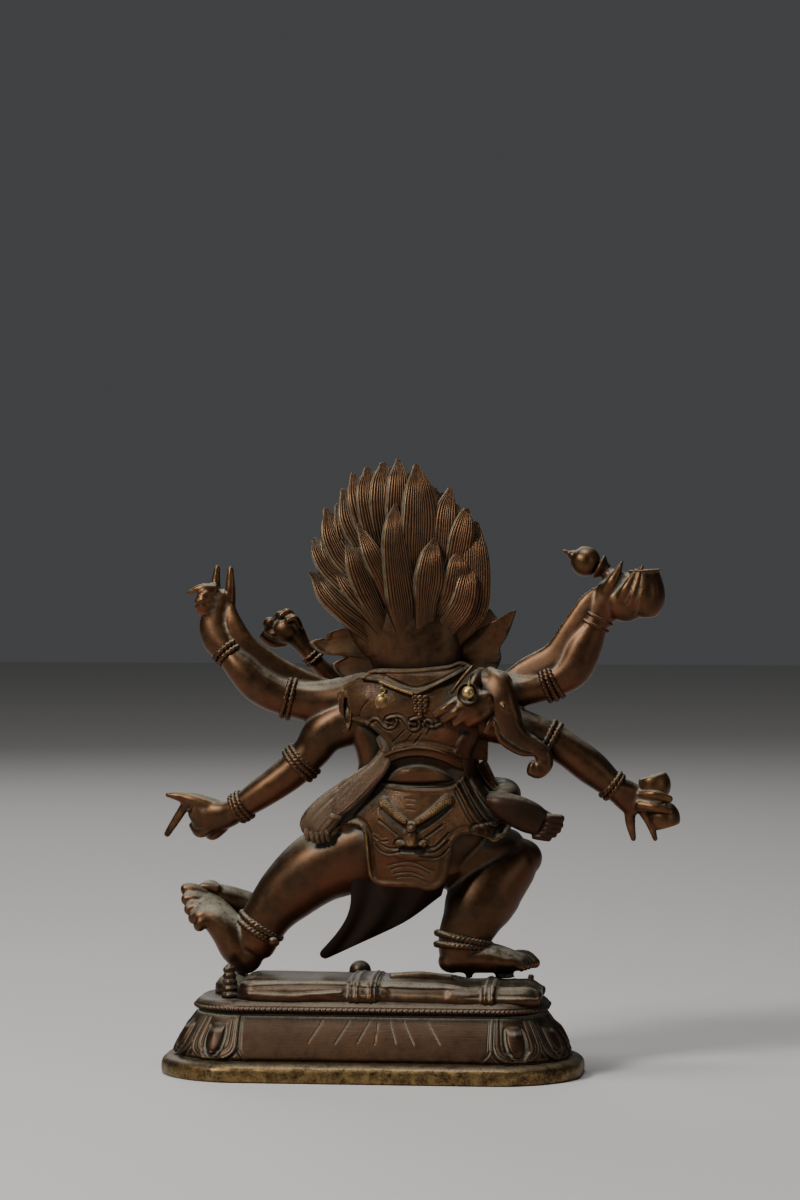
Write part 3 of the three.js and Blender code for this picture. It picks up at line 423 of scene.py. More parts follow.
def crowding(pieces):
    """Gives every piece its two hollow values and a value of how much other metal stands before
    each vertex: the share of filled cells in a blurred grid of cells, read a little way out
    along the normal."""
    clouds = [(made, *measure(made.data)) for made in pieces]
    every = np.concatenate([c[1] for c in clouds])
    low = every.min(0) - MARGIN
    size = ((every.max(0) + MARGIN - low) / CELL).astype(int) + 1
    filled = np.zeros(size, np.float32)
    at = ((every - low) / CELL).astype(int)
    filled[at[:, 0], at[:, 1], at[:, 2]] = 1
    for _ in range(2):
        for k in range(3):
            filled = sum(np.roll(filled, shift, k) for shift in (-2, -1, 0, 1, 2)) / 5
    for made, places, normals, found in clouds:
        nook = 0
        for reach in (2.5, 5.0):
            spot = ((places + normals * reach - low) / CELL).astype(int)
            spot = np.clip(spot, 0, size - 1)
            nook = nook + filled[spot[:, 0], spot[:, 1], spot[:, 2]] / 2
        for name, value in (("hollow", found[0]), ("broad", found[1]), ("nook", nook)):
            layer = made.data.attributes.new(name, "FLOAT", "POINT")
            layer.data.foreach_set("value", value.astype(np.float32))


def thin(made):
    """Collapses the flattest steps of a dense mesh, once it has been measured. A small one stays."""
    corners = np.empty(len(made.data.polygons), int)
    made.data.polygons.foreach_get("loop_total", corners)
    triangles = (corners - 2).sum()
    if triangles < SMALL_MESH:
        return
    collapse = made.modifiers.new("Thin", "DECIMATE")
    collapse.ratio = min(KEPT_SHARE, MOST_LEFT / triangles)
    dense = made.data
    made.data = evaluated(made)
    made.modifiers.clear()
    bpy.data.meshes.remove(dense)
    made.data.name = made.name


# Materials


class Wire:
    """One output socket of a shader tree, with sums on it adding Math nodes."""

    def __init__(self, tree, socket):
        self.tree = tree
        self.socket = socket

    def _math(self, operation, *others, clamp=False):
        node = self.tree.nodes.new("ShaderNodeMath")
        node.operation = operation
        node.use_clamp = clamp
        for slot, value in zip(node.inputs, (self, *others)):
            self.tree.feed(slot, value)
        return Wire(self.tree, node.outputs[0])

    def __add__(self, other):
        return self._math("ADD", other)

    def __sub__(self, other):
        return self._math("SUBTRACT", other)

    def __mul__(self, other):
        return self._math("MULTIPLY", other)

    def __rsub__(self, other):
        return (self * -1) + other

    __radd__ = __add__
    __rmul__ = __mul__

    def between(self, low, high):
        """0 at low, 1 at high, clamped."""
        return ((self - low) * (1 / (high - low)))._math("ADD", 0.0, clamp=True)

    def power(self, exponent):
        return self._math("POWER", exponent)

    def sine(self):
        return self._math("SINE")

    def magnitude(self):
        return self._math("ABSOLUTE")

    def capped(self):
        """No more than one."""
        return self._math("MINIMUM", 1.0)

    def floored(self):
        """No less than nothing."""
        return self._math("MAXIMUM", 0.0)


class Tree:
    """A material's nodes, all added through one method."""

    def __init__(self, name):
        self.material = bpy.data.materials.new(name)
        self.material.use_nodes = True
        self.links = self.material.node_tree.links
        self.nodes = self.material.node_tree.nodes
        self.nodes.clear()

    def feed(self, slot, value):
        """Links a wire to an input, or sets a plain value on it."""
        if isinstance(value, Wire):
            self.links.new(value.socket, slot)
        elif isinstance(slot.default_value, float):
            slot.default_value = float(value)
        elif len(slot.default_value) == 4 and len(value) == 3:
            slot.default_value = (*value, 1)
        else:
            slot.default_value = value

    def add(self, kind, out=0, **inputs):
        """A node of a kind with its inputs, as the wire of one of its outputs."""
        node = self.nodes.new("ShaderNode" + kind)
        for name, value in inputs.items():
            self.feed(node.inputs[name.replace("_", " ")], value)
        return Wire(self, node.outputs[out])

    def value(self, name, out=2):
        """A vertex value of the mesh: output 2 is its number, and output 1 its vector."""
        node = self.nodes.new("ShaderNodeAttribute")
        node.attribute_name = name
        return Wire(self, node.outputs[out])

    def axis(self, vector, out):
        """One of a vector's three numbers."""
        return self.add("SeparateXYZ", Vector=vector, out=out)

    def finish(self, **inputs):
        """The surface that the tree ends in."""
        shader = self.add("BsdfPrincipled", **inputs)
        self.links.new(shader.socket, self.nodes.new("ShaderNodeOutputMaterial").inputs[0])

    def blend(self, factor, one, two):
        """From one colour to another by a factor."""
        node = self.nodes.new("ShaderNodeMix")
        node.data_type = "RGBA"
        for slot, value in ((0, factor), (6, one), (7, two)):
            self.feed(node.inputs[slot], value)
        return Wire(self, node.outputs[2])


def wires(tree):
    """What every bronze reads: three noises by place, how far up the surface faces, the height above
    the table, the grain and its two directions, and the mesh's other vertex values."""
    place = tree.add("TexCoord", out=3)
    grain = tree.value("grain", out=1)
    return SimpleNamespace(
        place=place,
        cloud=tree.add("TexNoise", Vector=place, Scale=60.0, Detail=4.0, Roughness=0.6),
        mottle=tree.add("TexNoise", Vector=place, Scale=330.0, Detail=5.0, Roughness=0.65),
        speck=tree.add("TexNoise", Vector=place, Scale=1500.0, Detail=3.0, Roughness=0.7),
        upward=tree.axis(tree.add("NewGeometry", out=1), 2),
        level=tree.axis(place, 2),
        grain=grain,
        across=tree.axis(grain, 0),
        along=tree.axis(grain, 1),
        **{name: tree.value(name) for name in ("hollow", "broad", "nook", "wear")},
    )


def patina(tree, look, at, strands, golden):
    """The dark skin, clouded with warm brown and red-brown on its undersides."""
    mixed = (at.cloud * 0.45 + at.mottle * 0.35 + at.speck * 0.2).between(0.28, 0.7)
    base = tree.blend(mixed, look.dark, look.warm)
    if golden:
        base = tree.blend(at.mottle.between(0.25, 0.65) * golden, base, look.rub)
    if strands:
        tint = (tree.axis(at.grain, 2) * 1.7).sine() * 0.5 + 0.5
        base = tree.blend(tint * 0.08 + at.level.between(0.13, 0.17) * 0.26, base, look.mauve)
        # Painted shade: the hair darkens towards the hollows' colour low down, where the flame overhangs the
        # nape
        base = tree.blend((1 - at.level.between(0.125, 0.15)) * 0.2, base, look.hollow_and_painted_shade)
    under = (at.upward * -1).between(-0.25, 0.7) * at.cloud.between(0.36, 0.6)
    return tree.blend(under * 0.8, base, look.red)


def worn_skin(tree, look, at, base, rub, shade, worn, gilding):
    """The skin rubbed on its ridges, darkened in its fine hollows and, as painted shade, where other
    metal crowds in front of it and by the shade value, and brassy where it is worn, with the share of each."""
    rubbed = (
        (at.hollow * -1).between(0.02, 0.14) * 0.6 + (at.broad * -1).between(0.05, 0.6) * 0.4
    ) * at.mottle.between(0.35, 0.6)
    rubbed = rubbed * (1 - at.nook.between(0.1, 0.3))
    base = tree.blend(rubbed * (0.62 * rub), base, look.rub)
    # Painted shade: the crowding value (how much metal stands before the vertex) and the shade value darken
    # the skin, on top of the darkening in fine hollows
    hollow_and_painted_shade = (at.hollow.between(0.02, 0.2) + at.nook.between(0.1, 0.34) * 0.8 + shade).capped()
    base = tree.blend(hollow_and_painted_shade * 0.85, base, look.hollow_and_painted_shade)
    gilt = (((at.wear + worn) * 1.4 - 0.1) * at.mottle.between(0.3, 0.6)).capped().floored()
    if gilding:
        edge = 1 - at.level.between(0.0022, 0.0078)
        gilt = (gilt + edge * gilding * (at.mottle * 0.6 + at.speck * 0.4).between(0.4, 0.6)).capped()
    return tree.blend(gilt, base, look.brass), rubbed, hollow_and_painted_shade, gilt


def dust_share(look, at, rubbed, rub, lodge, edges, haze, dusty, gilding):
    """How much dust lies at each place: on patchy ledges and in hollows, less where it is rubbed."""
    patchy = (at.mottle * 0.5 + at.cloud * 0.5).between(0.3, 0.54)
    lower = 1 - at.level.between(0.05, 0.075)
    ledge = (at.upward + lower * (0.0 if gilding else 0.16)).between(0.54, 0.92) * patchy
    if edges:
        ledge = ledge * ((at.hollow * -1).between(0.0, 0.05) * 1.3 * edges + (1 - edges))
    lodged = (
        at.hollow.between(0.01, 0.1) * lodge * at.upward.between(-0.6, 0.2)
        + at.nook.between(0.12, 0.3) * 0.3 * at.upward.between(-0.2, 0.5)
    )
    dust = ((ledge + lodged) * (1 - rubbed * (0.6 * min(rub, 1))) * at.speck.between(0.2, 0.5)).capped()
    if haze:
        dust = (dust + patchy * haze).capped()
    dust = dust * (look.dust_amount * dusty)
    if gilding:
        dust = dust * (at.level.between(0.0058, 0.012) * 0.72 + 0.28)
    return dust


def grooved(tree, look, at, strands, base, rough, fine):
    """The hair's grooves in its colour, its roughness and its relief."""
    wander = tree.add("TexNoise", Vector=at.grain, Scale=0.25, Detail=2.0)
    grown = at.along.between(3.0, 13.0)
    groove = (at.across * (math.pi / strands) + wander * 0.7).sine().magnitude().power(0.6)
    groove = 1 - (1 - groove) * grown
    fine = tree.add("Bump", Height=groove, Distance=0.00045, Strength=1.0, Normal=fine)
    wall = at.wear.between(0.08, 0.22)
    base = tree.blend((1 - grown) * 0.42, base, look.hollow_and_painted_shade)
    base = tree.blend(groove.between(0.75, 1.0) * grown * 0.2, base, look.rub)
    base = tree.blend((1 - groove).between(0.22, 0.7) * (1 - wall) * 0.85, base, look.hollow_and_painted_shade)
    base = tree.blend(wall * at.mottle.between(0.2, 0.55) * 0.42, base, look.dust)
    return base, rough + (1 - groove) * 0.2, fine


def marked(tree, at, strokes, scratches, fine):
    """The relief with short strokes along the grain, or with long level scratches."""
    if strokes:
        squeezed = tree.add("CombineXYZ", X=at.across * 2.6, Y=at.along * 0.45, Z=0.0)
        hairs = tree.add("TexNoise", Vector=squeezed, Scale=strokes, Detail=1.0)
        fine = tree.add("Bump", Height=hairs.between(0.42, 0.6), Distance=0.0002, Strength=0.6, Normal=fine)
    if scratches:
        flat = tree.add("Mapping", Vector=at.place, Scale=(scratches * 0.06, scratches * 0.06, scratches))
        lines = tree.add("TexNoise", Vector=flat, Scale=1.0, Detail=3.0)
        fine = tree.add("Bump", Height=lines, Distance=0.0002, Strength=0.3, Normal=fine)
    return fine


def bronze(
    name, look, strands=0.0, strokes=0.0, scratches=0.0, lodge=0.35, shade=0.0, gilding=0.0, worn=0.0,
    dusty=1.0, edges=0.0, rub=1.0, haze=0.0, golden=0.0,
):
    """Patinated bronze. Strands are grooves across the grain value, strokes are short hair marks,
    scratches are long level ones, lodge is the share of dust in fine hollows, shade is painted
    shade that darkens the skin towards the hollows' colour (a negative one lifts some of the
    painted crowding shade), gilding lays a greenish gold over the lowest edge, worn adds to the
    wear all over, dusty multiplies the dust, edges is the share of it that keeps to raised edges,
    rub multiplies the rubbed ridges, haze is a thin dust all over, and golden a share of the rubbed
    colour all over."""
    tree = Tree(name)
    at = wires(tree)
    base = patina(tree, look, at, strands, golden)
    base, rubbed, hollow_and_painted_shade, gilt = worn_skin(tree, look, at, base, rub, shade, worn, gilding)
    dust = dust_share(look, at, rubbed, rub, lodge, edges, haze, dusty, gilding)
    base = tree.blend(dust, base, look.dust)
    rough = at.mottle * 0.22 + 0.29 - gilt * 0.08 + dust * 0.4 + hollow_and_painted_shade * 0.12
    metal = 0.88 - dust * 0.8
    fine = tree.add("Bump", Height=at.speck * 0.15 + at.mottle * 0.5, Distance=0.00012, Strength=0.7)
    if strands:
        base, rough, fine = grooved(tree, look, at, strands, base, rough, fine)
    fine = marked(tree, at, strokes, scratches, fine)
    tree.finish(
        Base_Color=base, Roughness=rough, Metallic=metal, Normal=fine, Coat_Weight=0.06, Coat_Roughness=0.35,
    )


def finish_piece(made, material, node):
    """Gives a piece its material and its body, and hides its CAD node."""
    made.data.materials.clear()
    made.data.materials.append(bpy.data.materials[material])
    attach(made, "root")
    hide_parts(node)


# Values that a user would change


class PlinthSizes(bpy.types.PropertyGroup):
    """Sizes of the plinth."""

    length: bpy.props.FloatProperty(
        name="Length", description="Over the flange", default=0.132, unit="LENGTH",
    )
    depth: bpy.props.FloatProperty(name="Depth", description="Over the flange", default=0.062, unit="LENGTH")
    corner: bpy.props.FloatProperty(
        name="Corner", description="Radius at the flange", default=0.027, unit="LENGTH",
    )
    petals: bpy.props.IntProperty(name="Petals", description="Lotus petals round the wall", default=14, min=4)
    bead: bpy.props.FloatProperty(
        name="Bead pitch", description="Beads along the rim", default=0.0017, unit="LENGTH",
    )


class FigureSizes(bpy.types.PropertyGroup):
    """Sizes of the figure's detail."""

    rope: bpy.props.FloatProperty(
        name="Rope", description="Radius of the rope rings", default=0.00068, unit="LENGTH",
    )
    strand: bpy.props.FloatProperty(
        name="Strand", description="Pitch of the hair's grooves", default=0.00074, unit="LENGTH",
    )
    fuse: bpy.props.FloatProperty(
        name="Fuse", description="Finest step of the fused flesh", default=0.00055, unit="LENGTH",
    )


class PatinaColours(bpy.types.PropertyGroup):
    """Colours of the bronze's skin."""

    dark: bpy.props.FloatVectorProperty(
        name="Dark", description="Dark brown skin", default=(0.022, 0.0132, 0.0078), subtype="COLOR",
    )
    warm: bpy.props.FloatVectorProperty(
        name="Warm", description="Warm brown skin", default=(0.088, 0.041, 0.016), subtype="COLOR",
    )
    red: bpy.props.FloatVectorProperty(
        name="Red", description="Red-brown undersides", default=(0.15, 0.038, 0.018), subtype="COLOR",
    )
    # Nearly black colour of the hollows, also used as painted shade: crowded places, the hair's nape and each
    # material's shade value darken towards it
    hollow_and_painted_shade: bpy.props.FloatVectorProperty(
        name="Hollows and painted shade", description="Nearly black hollows and painted shade", default=(0.008, 0.006, 0.0045), subtype="COLOR",
    )
    rub: bpy.props.FloatVectorProperty(
        name="Rubbed", description="Lighter ridges", default=(0.2, 0.1, 0.038), subtype="COLOR",
    )
    mauve: bpy.props.FloatVectorProperty(
        name="Mauve", description="Greyed brown of the hair", default=(0.125, 0.07, 0.048), subtype="COLOR",
    )
    brass: bpy.props.FloatVectorProperty(
        name="Worn", description="Worn through to brass", default=(0.52, 0.36, 0.13), subtype="COLOR",
    )
    dust: bpy.props.FloatVectorProperty(
        name="Dust", description="Dust on ledges", default=(0.3, 0.285, 0.215), subtype="COLOR",
    )
    dust_amount: bpy.props.FloatProperty(
        name="Dust amount", description="Share of dust", default=0.85, subtype="FACTOR",
    )


# Plinth, in millimetres above the table. A profile is places (inset, height), and a ray on the
# back panel is its two ends (x, share of the wall's height)

PLINTH_COLUMNS = 980
WALL_ROWS = 38
UNDERSIDE_INSET = 6.0
FLANGE = [(1.2, 0), (0.35, 0.25), (0, 1), (0, 3.2), (0.45, 4.5), (1.7, 5.4), (3.4, 5.85), (5.2, 6)]
FLANGE_TOP = 6.0
GROOVE = (5.3, 6.3)
WALL_FOOT = 0.4
WALL_TOP = 19.3
WALL_INSET = 4.4
WALL_BATTER = 7.6
RIM = [
    (12.9, 19.6), (12.7, 20.1), (11.4, 20.3), (10.9, 20.8), (10.7, 21.6), (10.9, 22.3), (11.3, 22.8),
    (12.2, 23.5), (13.4, 23.95), (14.5, 24),
]
BEAD_RADIUS = 0.78
BEAD_LEVEL = 21.25
PLATE_INSET = 14.5
RAYS = [
    ((13.2, 0.93), (17.3, 0.42)), ((4.8, 0.93), (9, 0.4)), ((-1.4, 0.93), (2.1, 0.42)),
    ((-4.1, 0.93), (-3.4, 0.4)), ((-7.6, 0.93), (-9.9, 0.42)), ((-11.9, 0.93), (-15.5, 0.4)),
    ((-19.3, 0.93), (-23.5, 0.42)),
]


def oblong(run, inset, sizes):
    """Points on a rounded oblong, and the way out from it. The hub that the corner's radius
    turns about and the angle of turn are straight-line functions of the run, which starts at
    the middle of the back and goes round by -X."""
    half_x = sizes.length / MM / 2 - sizes.corner / MM
    half_y = sizes.depth / MM / 2 - sizes.corner / MM
    radius = sizes.corner / MM
    arc = (radius - WALL_INSET - WALL_BATTER * 0.4) * math.pi / 2
    legs = np.cumsum([0, half_x, arc, 2 * half_y, arc, 2 * half_x, arc, 2 * half_y, arc, half_x])
    hub_x = np.interp(run, legs, [0, -half_x, -half_x, -half_x, -half_x, half_x, half_x, half_x, half_x, 0])
    hub_y = np.interp(
        run, legs, [half_y, half_y, half_y, -half_y, -half_y, -half_y, -half_y, half_y, half_y, half_y],
    )
    angle = np.radians(np.interp(run, legs, [90, 90, 180, 180, 270, 270, 360, 360, 450, 450]))
    out = np.stack([np.cos(angle), np.sin(angle)], -1)
    reach = np.maximum(radius - inset, 0)[..., None]
    return np.stack([hub_x, hub_y], -1) + out * reach, legs[-1], half_x


def petal_relief(run, rise, total, half_x, sizes):
    """Height of the lotus petals over the wall: each is a set of nested U shapes of one size
    value, with two thin raised outlines, a sunk band and a raised tongue in a groove."""
    width = (total - 2 * half_x) / sizes.petals
    place = (run - half_x) / width
    off = (place - np.floor(place) - 0.5) * 2
    over = np.clip((0.5 - rise) / 0.5, 0, 1)
    size = (np.abs(off) ** 2.6 + over**2.6) ** (1 / 2.6)
    fall = np.clip((0.62 - rise) / 0.5, 0, 1.2)
    tongue = (np.abs(off / (0.44 - 0.1 * rise)) ** 1.7 + fall**1.9) ** (1 / 1.8)
    high = 0.5 + 0.55 * hump(size - 0.95, 0.055) + 0.4 * hump(size - 0.83, 0.05)
    high = high + 0.25 * hump(size - 0.7, 0.12) - 0.2 * hump(size - 0.6, 0.1)
    short = step_up(0.84 - rise, 0.0, 0.2)
    high = high - 0.9 * hump(tongue - 1.12, 0.24) * short + 1.25 * np.sqrt(np.clip(1 - tongue, 0, 1)) * short
    outside = step_up(size, 0.99, 1.05)
    filler = 0.35 * step_up(0.3 - rise - 1.1 * (1 - np.abs(off)), 0.0, 0.08)
    high = high * (1 - outside) + outside * (filler - 0.35)
    return np.where((run > half_x) & (run < total - half_x), high * step_up(rise, -0.01, 0.04), 0.0)


def panel_relief(run, rise, total, half_x):
    """Height of the plain panel's border and the depth of its rays: the border is two raised
    lines up each end that turn inwards below, and each ray is a thin cut."""
    x = np.where(run > total / 2, total - run, -run)
    away = half_x - np.abs(x)
    corner = np.clip((0.3 - rise) / 0.3, 0, 1)
    edge = away + 1.0 - 3.4 * corner**2
    high = 0.55 * hump(edge - 0.4, 0.42) + 0.35 * hump(edge - 1.5, 0.3) - 0.3 * hump(edge - 0.95, 0.25)
    high = high + 0.25 * step_up(edge, 1.6, 2.1) * step_up(rise, 0.02, 0.08)
    for upper, lower in RAYS:
        cut = near(x, rise * 13.3, [(upper[0], upper[1] * 13.3), (lower[0], lower[1] * 13.3)])
        high = high - 0.22 * hump(cut, 0.22)
    return np.where(np.abs(x) < half_x + 1.0, high, 0.0)


def plinth_skins(sizes):
    """One closed skin of rows up the plinth: flange, groove, carved wall, gap, beaded rim and
    plate, each row the oblong at an inset less its relief."""
    _, total, half_x = oblong(np.zeros(1), 0, sizes)
    run = np.arange(PLINTH_COLUMNS) * total / PLINTH_COLUMNS
    rows = [np.zeros((PLINTH_COLUMNS, 3))]

    def row(inset, z, share=1.0):
        place = oblong(run, inset + 0 * run, sizes)[0] * share
        rows.append(np.concatenate([place, np.full((PLINTH_COLUMNS, 1), z)], 1))

    row(UNDERSIDE_INSET, 0.0)
    ripple = 0.12 * np.sin(run * 0.37) + 0.08 * np.sin(run * 0.91 + 2)
    for inset, z in curve(FLANGE, 0.55):
        row(inset + ripple * hump(z - 2.5, 3.5), z)
    row(*GROOVE)
    for rise in np.linspace(0.0, 1.0, WALL_ROWS):
        share = np.full(PLINTH_COLUMNS, rise)
        relief = petal_relief(run, share, total, half_x, sizes) + panel_relief(run, share, total, half_x)
        lip = 0.5 * (1 - step_up(share, 0.0, 0.05))
        row(
            WALL_INSET + WALL_BATTER * share**1.35 + lip - relief,
            FLANGE_TOP + WALL_FOOT + (WALL_TOP - FLANGE_TOP - WALL_FOOT) * rise,
        )
    pitch = total / round(total / (sizes.bead / MM))
    beside = (run / pitch - np.floor(run / pitch) - 0.5) * pitch
    for inset, z in curve(RIM, 0.26):
        bead = np.sqrt(np.clip(BEAD_RADIUS**2 - beside**2 - (z - BEAD_LEVEL) ** 2, 0, 1))
        row(inset - 0.75 * bead, z)
    for share in (0.9, 0.75, 0.5, 0.25, 0.0):
        row(PLATE_INSET, PLATE_TOP, share)
    points = np.stack(rows)
    grain = np.stack([np.broadcast_to(run, points.shape[:2]), points[..., 2], points[..., 2] * 0], -1)
    return [skin(points[:, ::-1], grain=grain[:, ::-1])]


# Trampled body, in millimetres above the plate

PRONE_ROWS = [
    (41, 10.5, 4.6), (37.5, 14.2, 6.8), (32, 14.9, 7.1), (20, 14.9, 7), (10, 14.4, 7), (5.6, 14, 6.7),
    (4.6, 14.9, 7.3), (-2.4, 15, 7.3), (-3.4, 14, 6.8), (-9, 14.2, 7.1), (-16, 14.6, 7), (-24, 14.8, 6.6),
    (-30, 15.2, 5.4), (-35, 14.4, 5.5), (-36.3, 14.9, 5.9), (-39.5, 14.9, 5.9), (-40.6, 13.6, 5.4),
    (-46, 13.4, 5.5), (-50, 12.6, 5.4), (-53.2, 10.2, 3.4),
]


def prone_skins():
    """The flattened body: sections of a rounded slab along x with folds raised on its side, the
    hair knot as a turned pile of beads, and the head, arms, sash and toes as limbs."""
    rows = spline(PRONE_ROWS, even(PRONE_ROWS, 0.4)[0])
    turn = np.concatenate([np.linspace(0, math.pi, 64), [1.06 * math.pi, 1.94 * math.pi]])
    turns, x = np.meshgrid(turn, rows[:, 0])
    half, high = rows[:, 1:2], rows[:, 2:3]
    sweep = np.sin(turns)
    z = np.where(sweep > 0, high * np.abs(sweep) ** 0.55, -1.0)
    y = 2.5 + half * np.sign(np.cos(turns)) * np.abs(np.cos(turns)) ** 0.8 + 0.8 * (1 - z / 7)
    fold = (
        0.7 * hump(near(x, z, [(37, 1.9), (24, 1.3), (8, 2.6)]), 0.9)
        + 0.55 * hump(z - 4.9 - 0.5 * np.sin(x * 0.09), 0.9)
    )
    fold = fold + 0.9 * hump(z - 0.6 - 0.5 * np.sin(x * 0.13 + 1), 0.8)
    band = 0.5 * sum(hump(x - mid, 0.7) for mid in (5.2, 2.9, -1.4, -3.3, -36.8, -39.0))
    dip = 0.6 * hump(near(x, z, [(-8, 3.4), (-24, 2.8)]), 2.4)
    out = np.where(sweep > -0.01, fold + band - dip, 0) * step_up(np.abs(np.cos(turns)), 0.15, 0.6)
    y = y + out * np.sign(np.cos(turns))
    z = z + np.where(sweep > 0, 0.4 * hump(np.abs(y - 2.5) - half * 0.86, 1.6) + 0.5 * band, 0)
    points = np.stack([x, y, z], -1)
    points = np.concatenate([
        np.broadcast_to(points[:1].mean((0, 1)), points[:1].shape), points,
        np.broadcast_to(points[-1:].mean((0, 1)), points[:1].shape),
    ])
    knot = [(0, -0.8)]
    for tier in range(5):
        size = 2.75 - 0.24 * tier
        knot += [(size * 0.86, tier * 1.95), (size, 0.9 + tier * 1.95), (size * 0.84, 1.75 + tier * 1.95)]
    knot.append((0, 10.9))

    def knobs(turns, share):
        return 1 + 0.07 * np.abs(np.sin(4 * turns + 9 * share)) ** 0.5

    return [
        skin(points),
        turned(knot, (43.2, 11.6, 0), (0.06, 0, 1), around=56, scallop=knobs),
        ball((43.5, -2, 1.2), (6.6, 8, 5.6)),
        ball((48.6, -2.2, 2.4), (1.5, 1.8, 1.3)),
        tube([(-7, 8.6, 6.6, 1.4, 1.1), (-16, 9.2, 7.1, 1.6, 1.2), (-25.4, 8.8, 6.2, 1.4, 1)], wear=0.1),
        ball((5.2, -11, 6.2), (3.5, 3.5, 3.4)),
        tube([(33, -11, 2.6, 2.8, 2.6), (14, -14.5, 2.4, 2.6, 2.4), (6, -12, 4, 2.4, 2.4)]),
        tube([(-49.5, 3, 2, 1.2, 1.2), (-50, 3, 6.9, 0.9, 0.9)]),
        tube([(-44, 8, 2.4, 3, 2.6), (-50, 9.5, 1.8, 2.4, 2.2), (-53, 9.8, 1.3, 1.6, 1.4)]),
        tube([(-44, -4, 2.4, 3, 2.6), (-50, -5.5, 1.8, 2.4, 2.2), (-53, -5.8, 1.3, 1.6, 1.4)]),
    ]


# Figure, in millimetres above the plate. A limb is stations (x, y, z, half width, half depth), and
# a finger is its points with the radius at its root and at its tip

TRUNK = [
    (-17, 1, 42, 14, 10), (-17, 2, 52, 19, 13), (-18, 1, 63, 17, 12), (-19, 0, 73, 14.5, 10.5),
    (-17.5, 0, 82, 17, 12), (-15.5, 0, 91, 20, 12), (-14.5, 0, 98, 19, 9.5), (-14, 0, 104, 10.5, 7.5),
    (-13, -1, 110, 8.5, 8),
]
ARMS = {
    "upper left": [
        (2, 0, 93, 8.5, 8.5), (16, 1, 91.8, 6.7, 6.7), (27.7, 2, 93.5, 5.9, 5.9), (35.5, 3, 97, 5.6, 5.6),
        (41, 3, 102.3, 4.9, 4.9), (44.9, 2, 106.8, 4.2, 4), (48.2, 1, 111, 5.2, 3.8),
        (49.4, 0, 115.6, 5.3, 3.6), (48.4, -0.6, 120.4, 4.7, 3.2), (47.4, -1, 124.8, 4.2, 2.7),
    ],
    "lower left": [
        (1, 2, 89, 9, 8), (13.4, 3, 83.2, 7.2, 6.8), (19, 3, 76.4, 5.8, 5.6), (25.2, 3, 70.2, 5.5, 5.4),
        (34, 3, 63.8, 4.9, 4.9), (42.4, 2, 58.2, 4, 4), (46.5, 1, 56.4, 4.6, 3.6), (52.5, 0, 55.8, 5.2, 3.2),
        (56, 0, 57.6, 3.4, 2.6),
    ],
    "upper right": [
        (-29, 0, 94, 8.5, 8.5), (-42, 1, 95, 5.6, 5.8), (-50, 1, 96.3, 4.9, 5), (-57, 1, 98.7, 5.1, 5),
        (-62.6, 1, 102.7, 6, 5.6), (-66, 1, 109.4, 5.9, 5.2), (-69.8, 1, 117, 4.3, 4),
        (-72.2, 1, 121, 5.3, 4), (-75.8, 1.4, 125.2, 6.4, 4.2), (-78.2, 2, 128.6, 5, 3.2),
    ],
    "lower right": [
        (-29, 2, 90, 9, 8), (-44, 3, 84.8, 6.5, 6.4), (-54, 3, 81.3, 5.7, 5.7), (-61, 3, 77.6, 5.3, 5.3),
        (-68.5, 2, 72, 5.4, 5.3), (-75.7, 1, 65.8, 4.1, 4.1), (-78.6, 0, 63.8, 4.6, 3.5),
        (-82.3, -1, 61.3, 5.2, 3.2),
    ],
}
FRONT_ARMS = {
    "front left": [
        (3, 0, 91, 8, 8), (9, -11, 85, 6, 6), (4, -22, 80, 5, 5), (-5, -30, 81, 3.8, 3.8),
        (-9, -31.5, 82, 4.4, 3.4),
    ],
    "front right": [
        (-31, 0, 91, 8, 8), (-38, -10, 86, 6, 6), (-33, -22, 84, 5, 5), (-24, -30, 87, 3.8, 3.8),
        (-20, -31.5, 88, 4.4, 3.4),
    ],
}
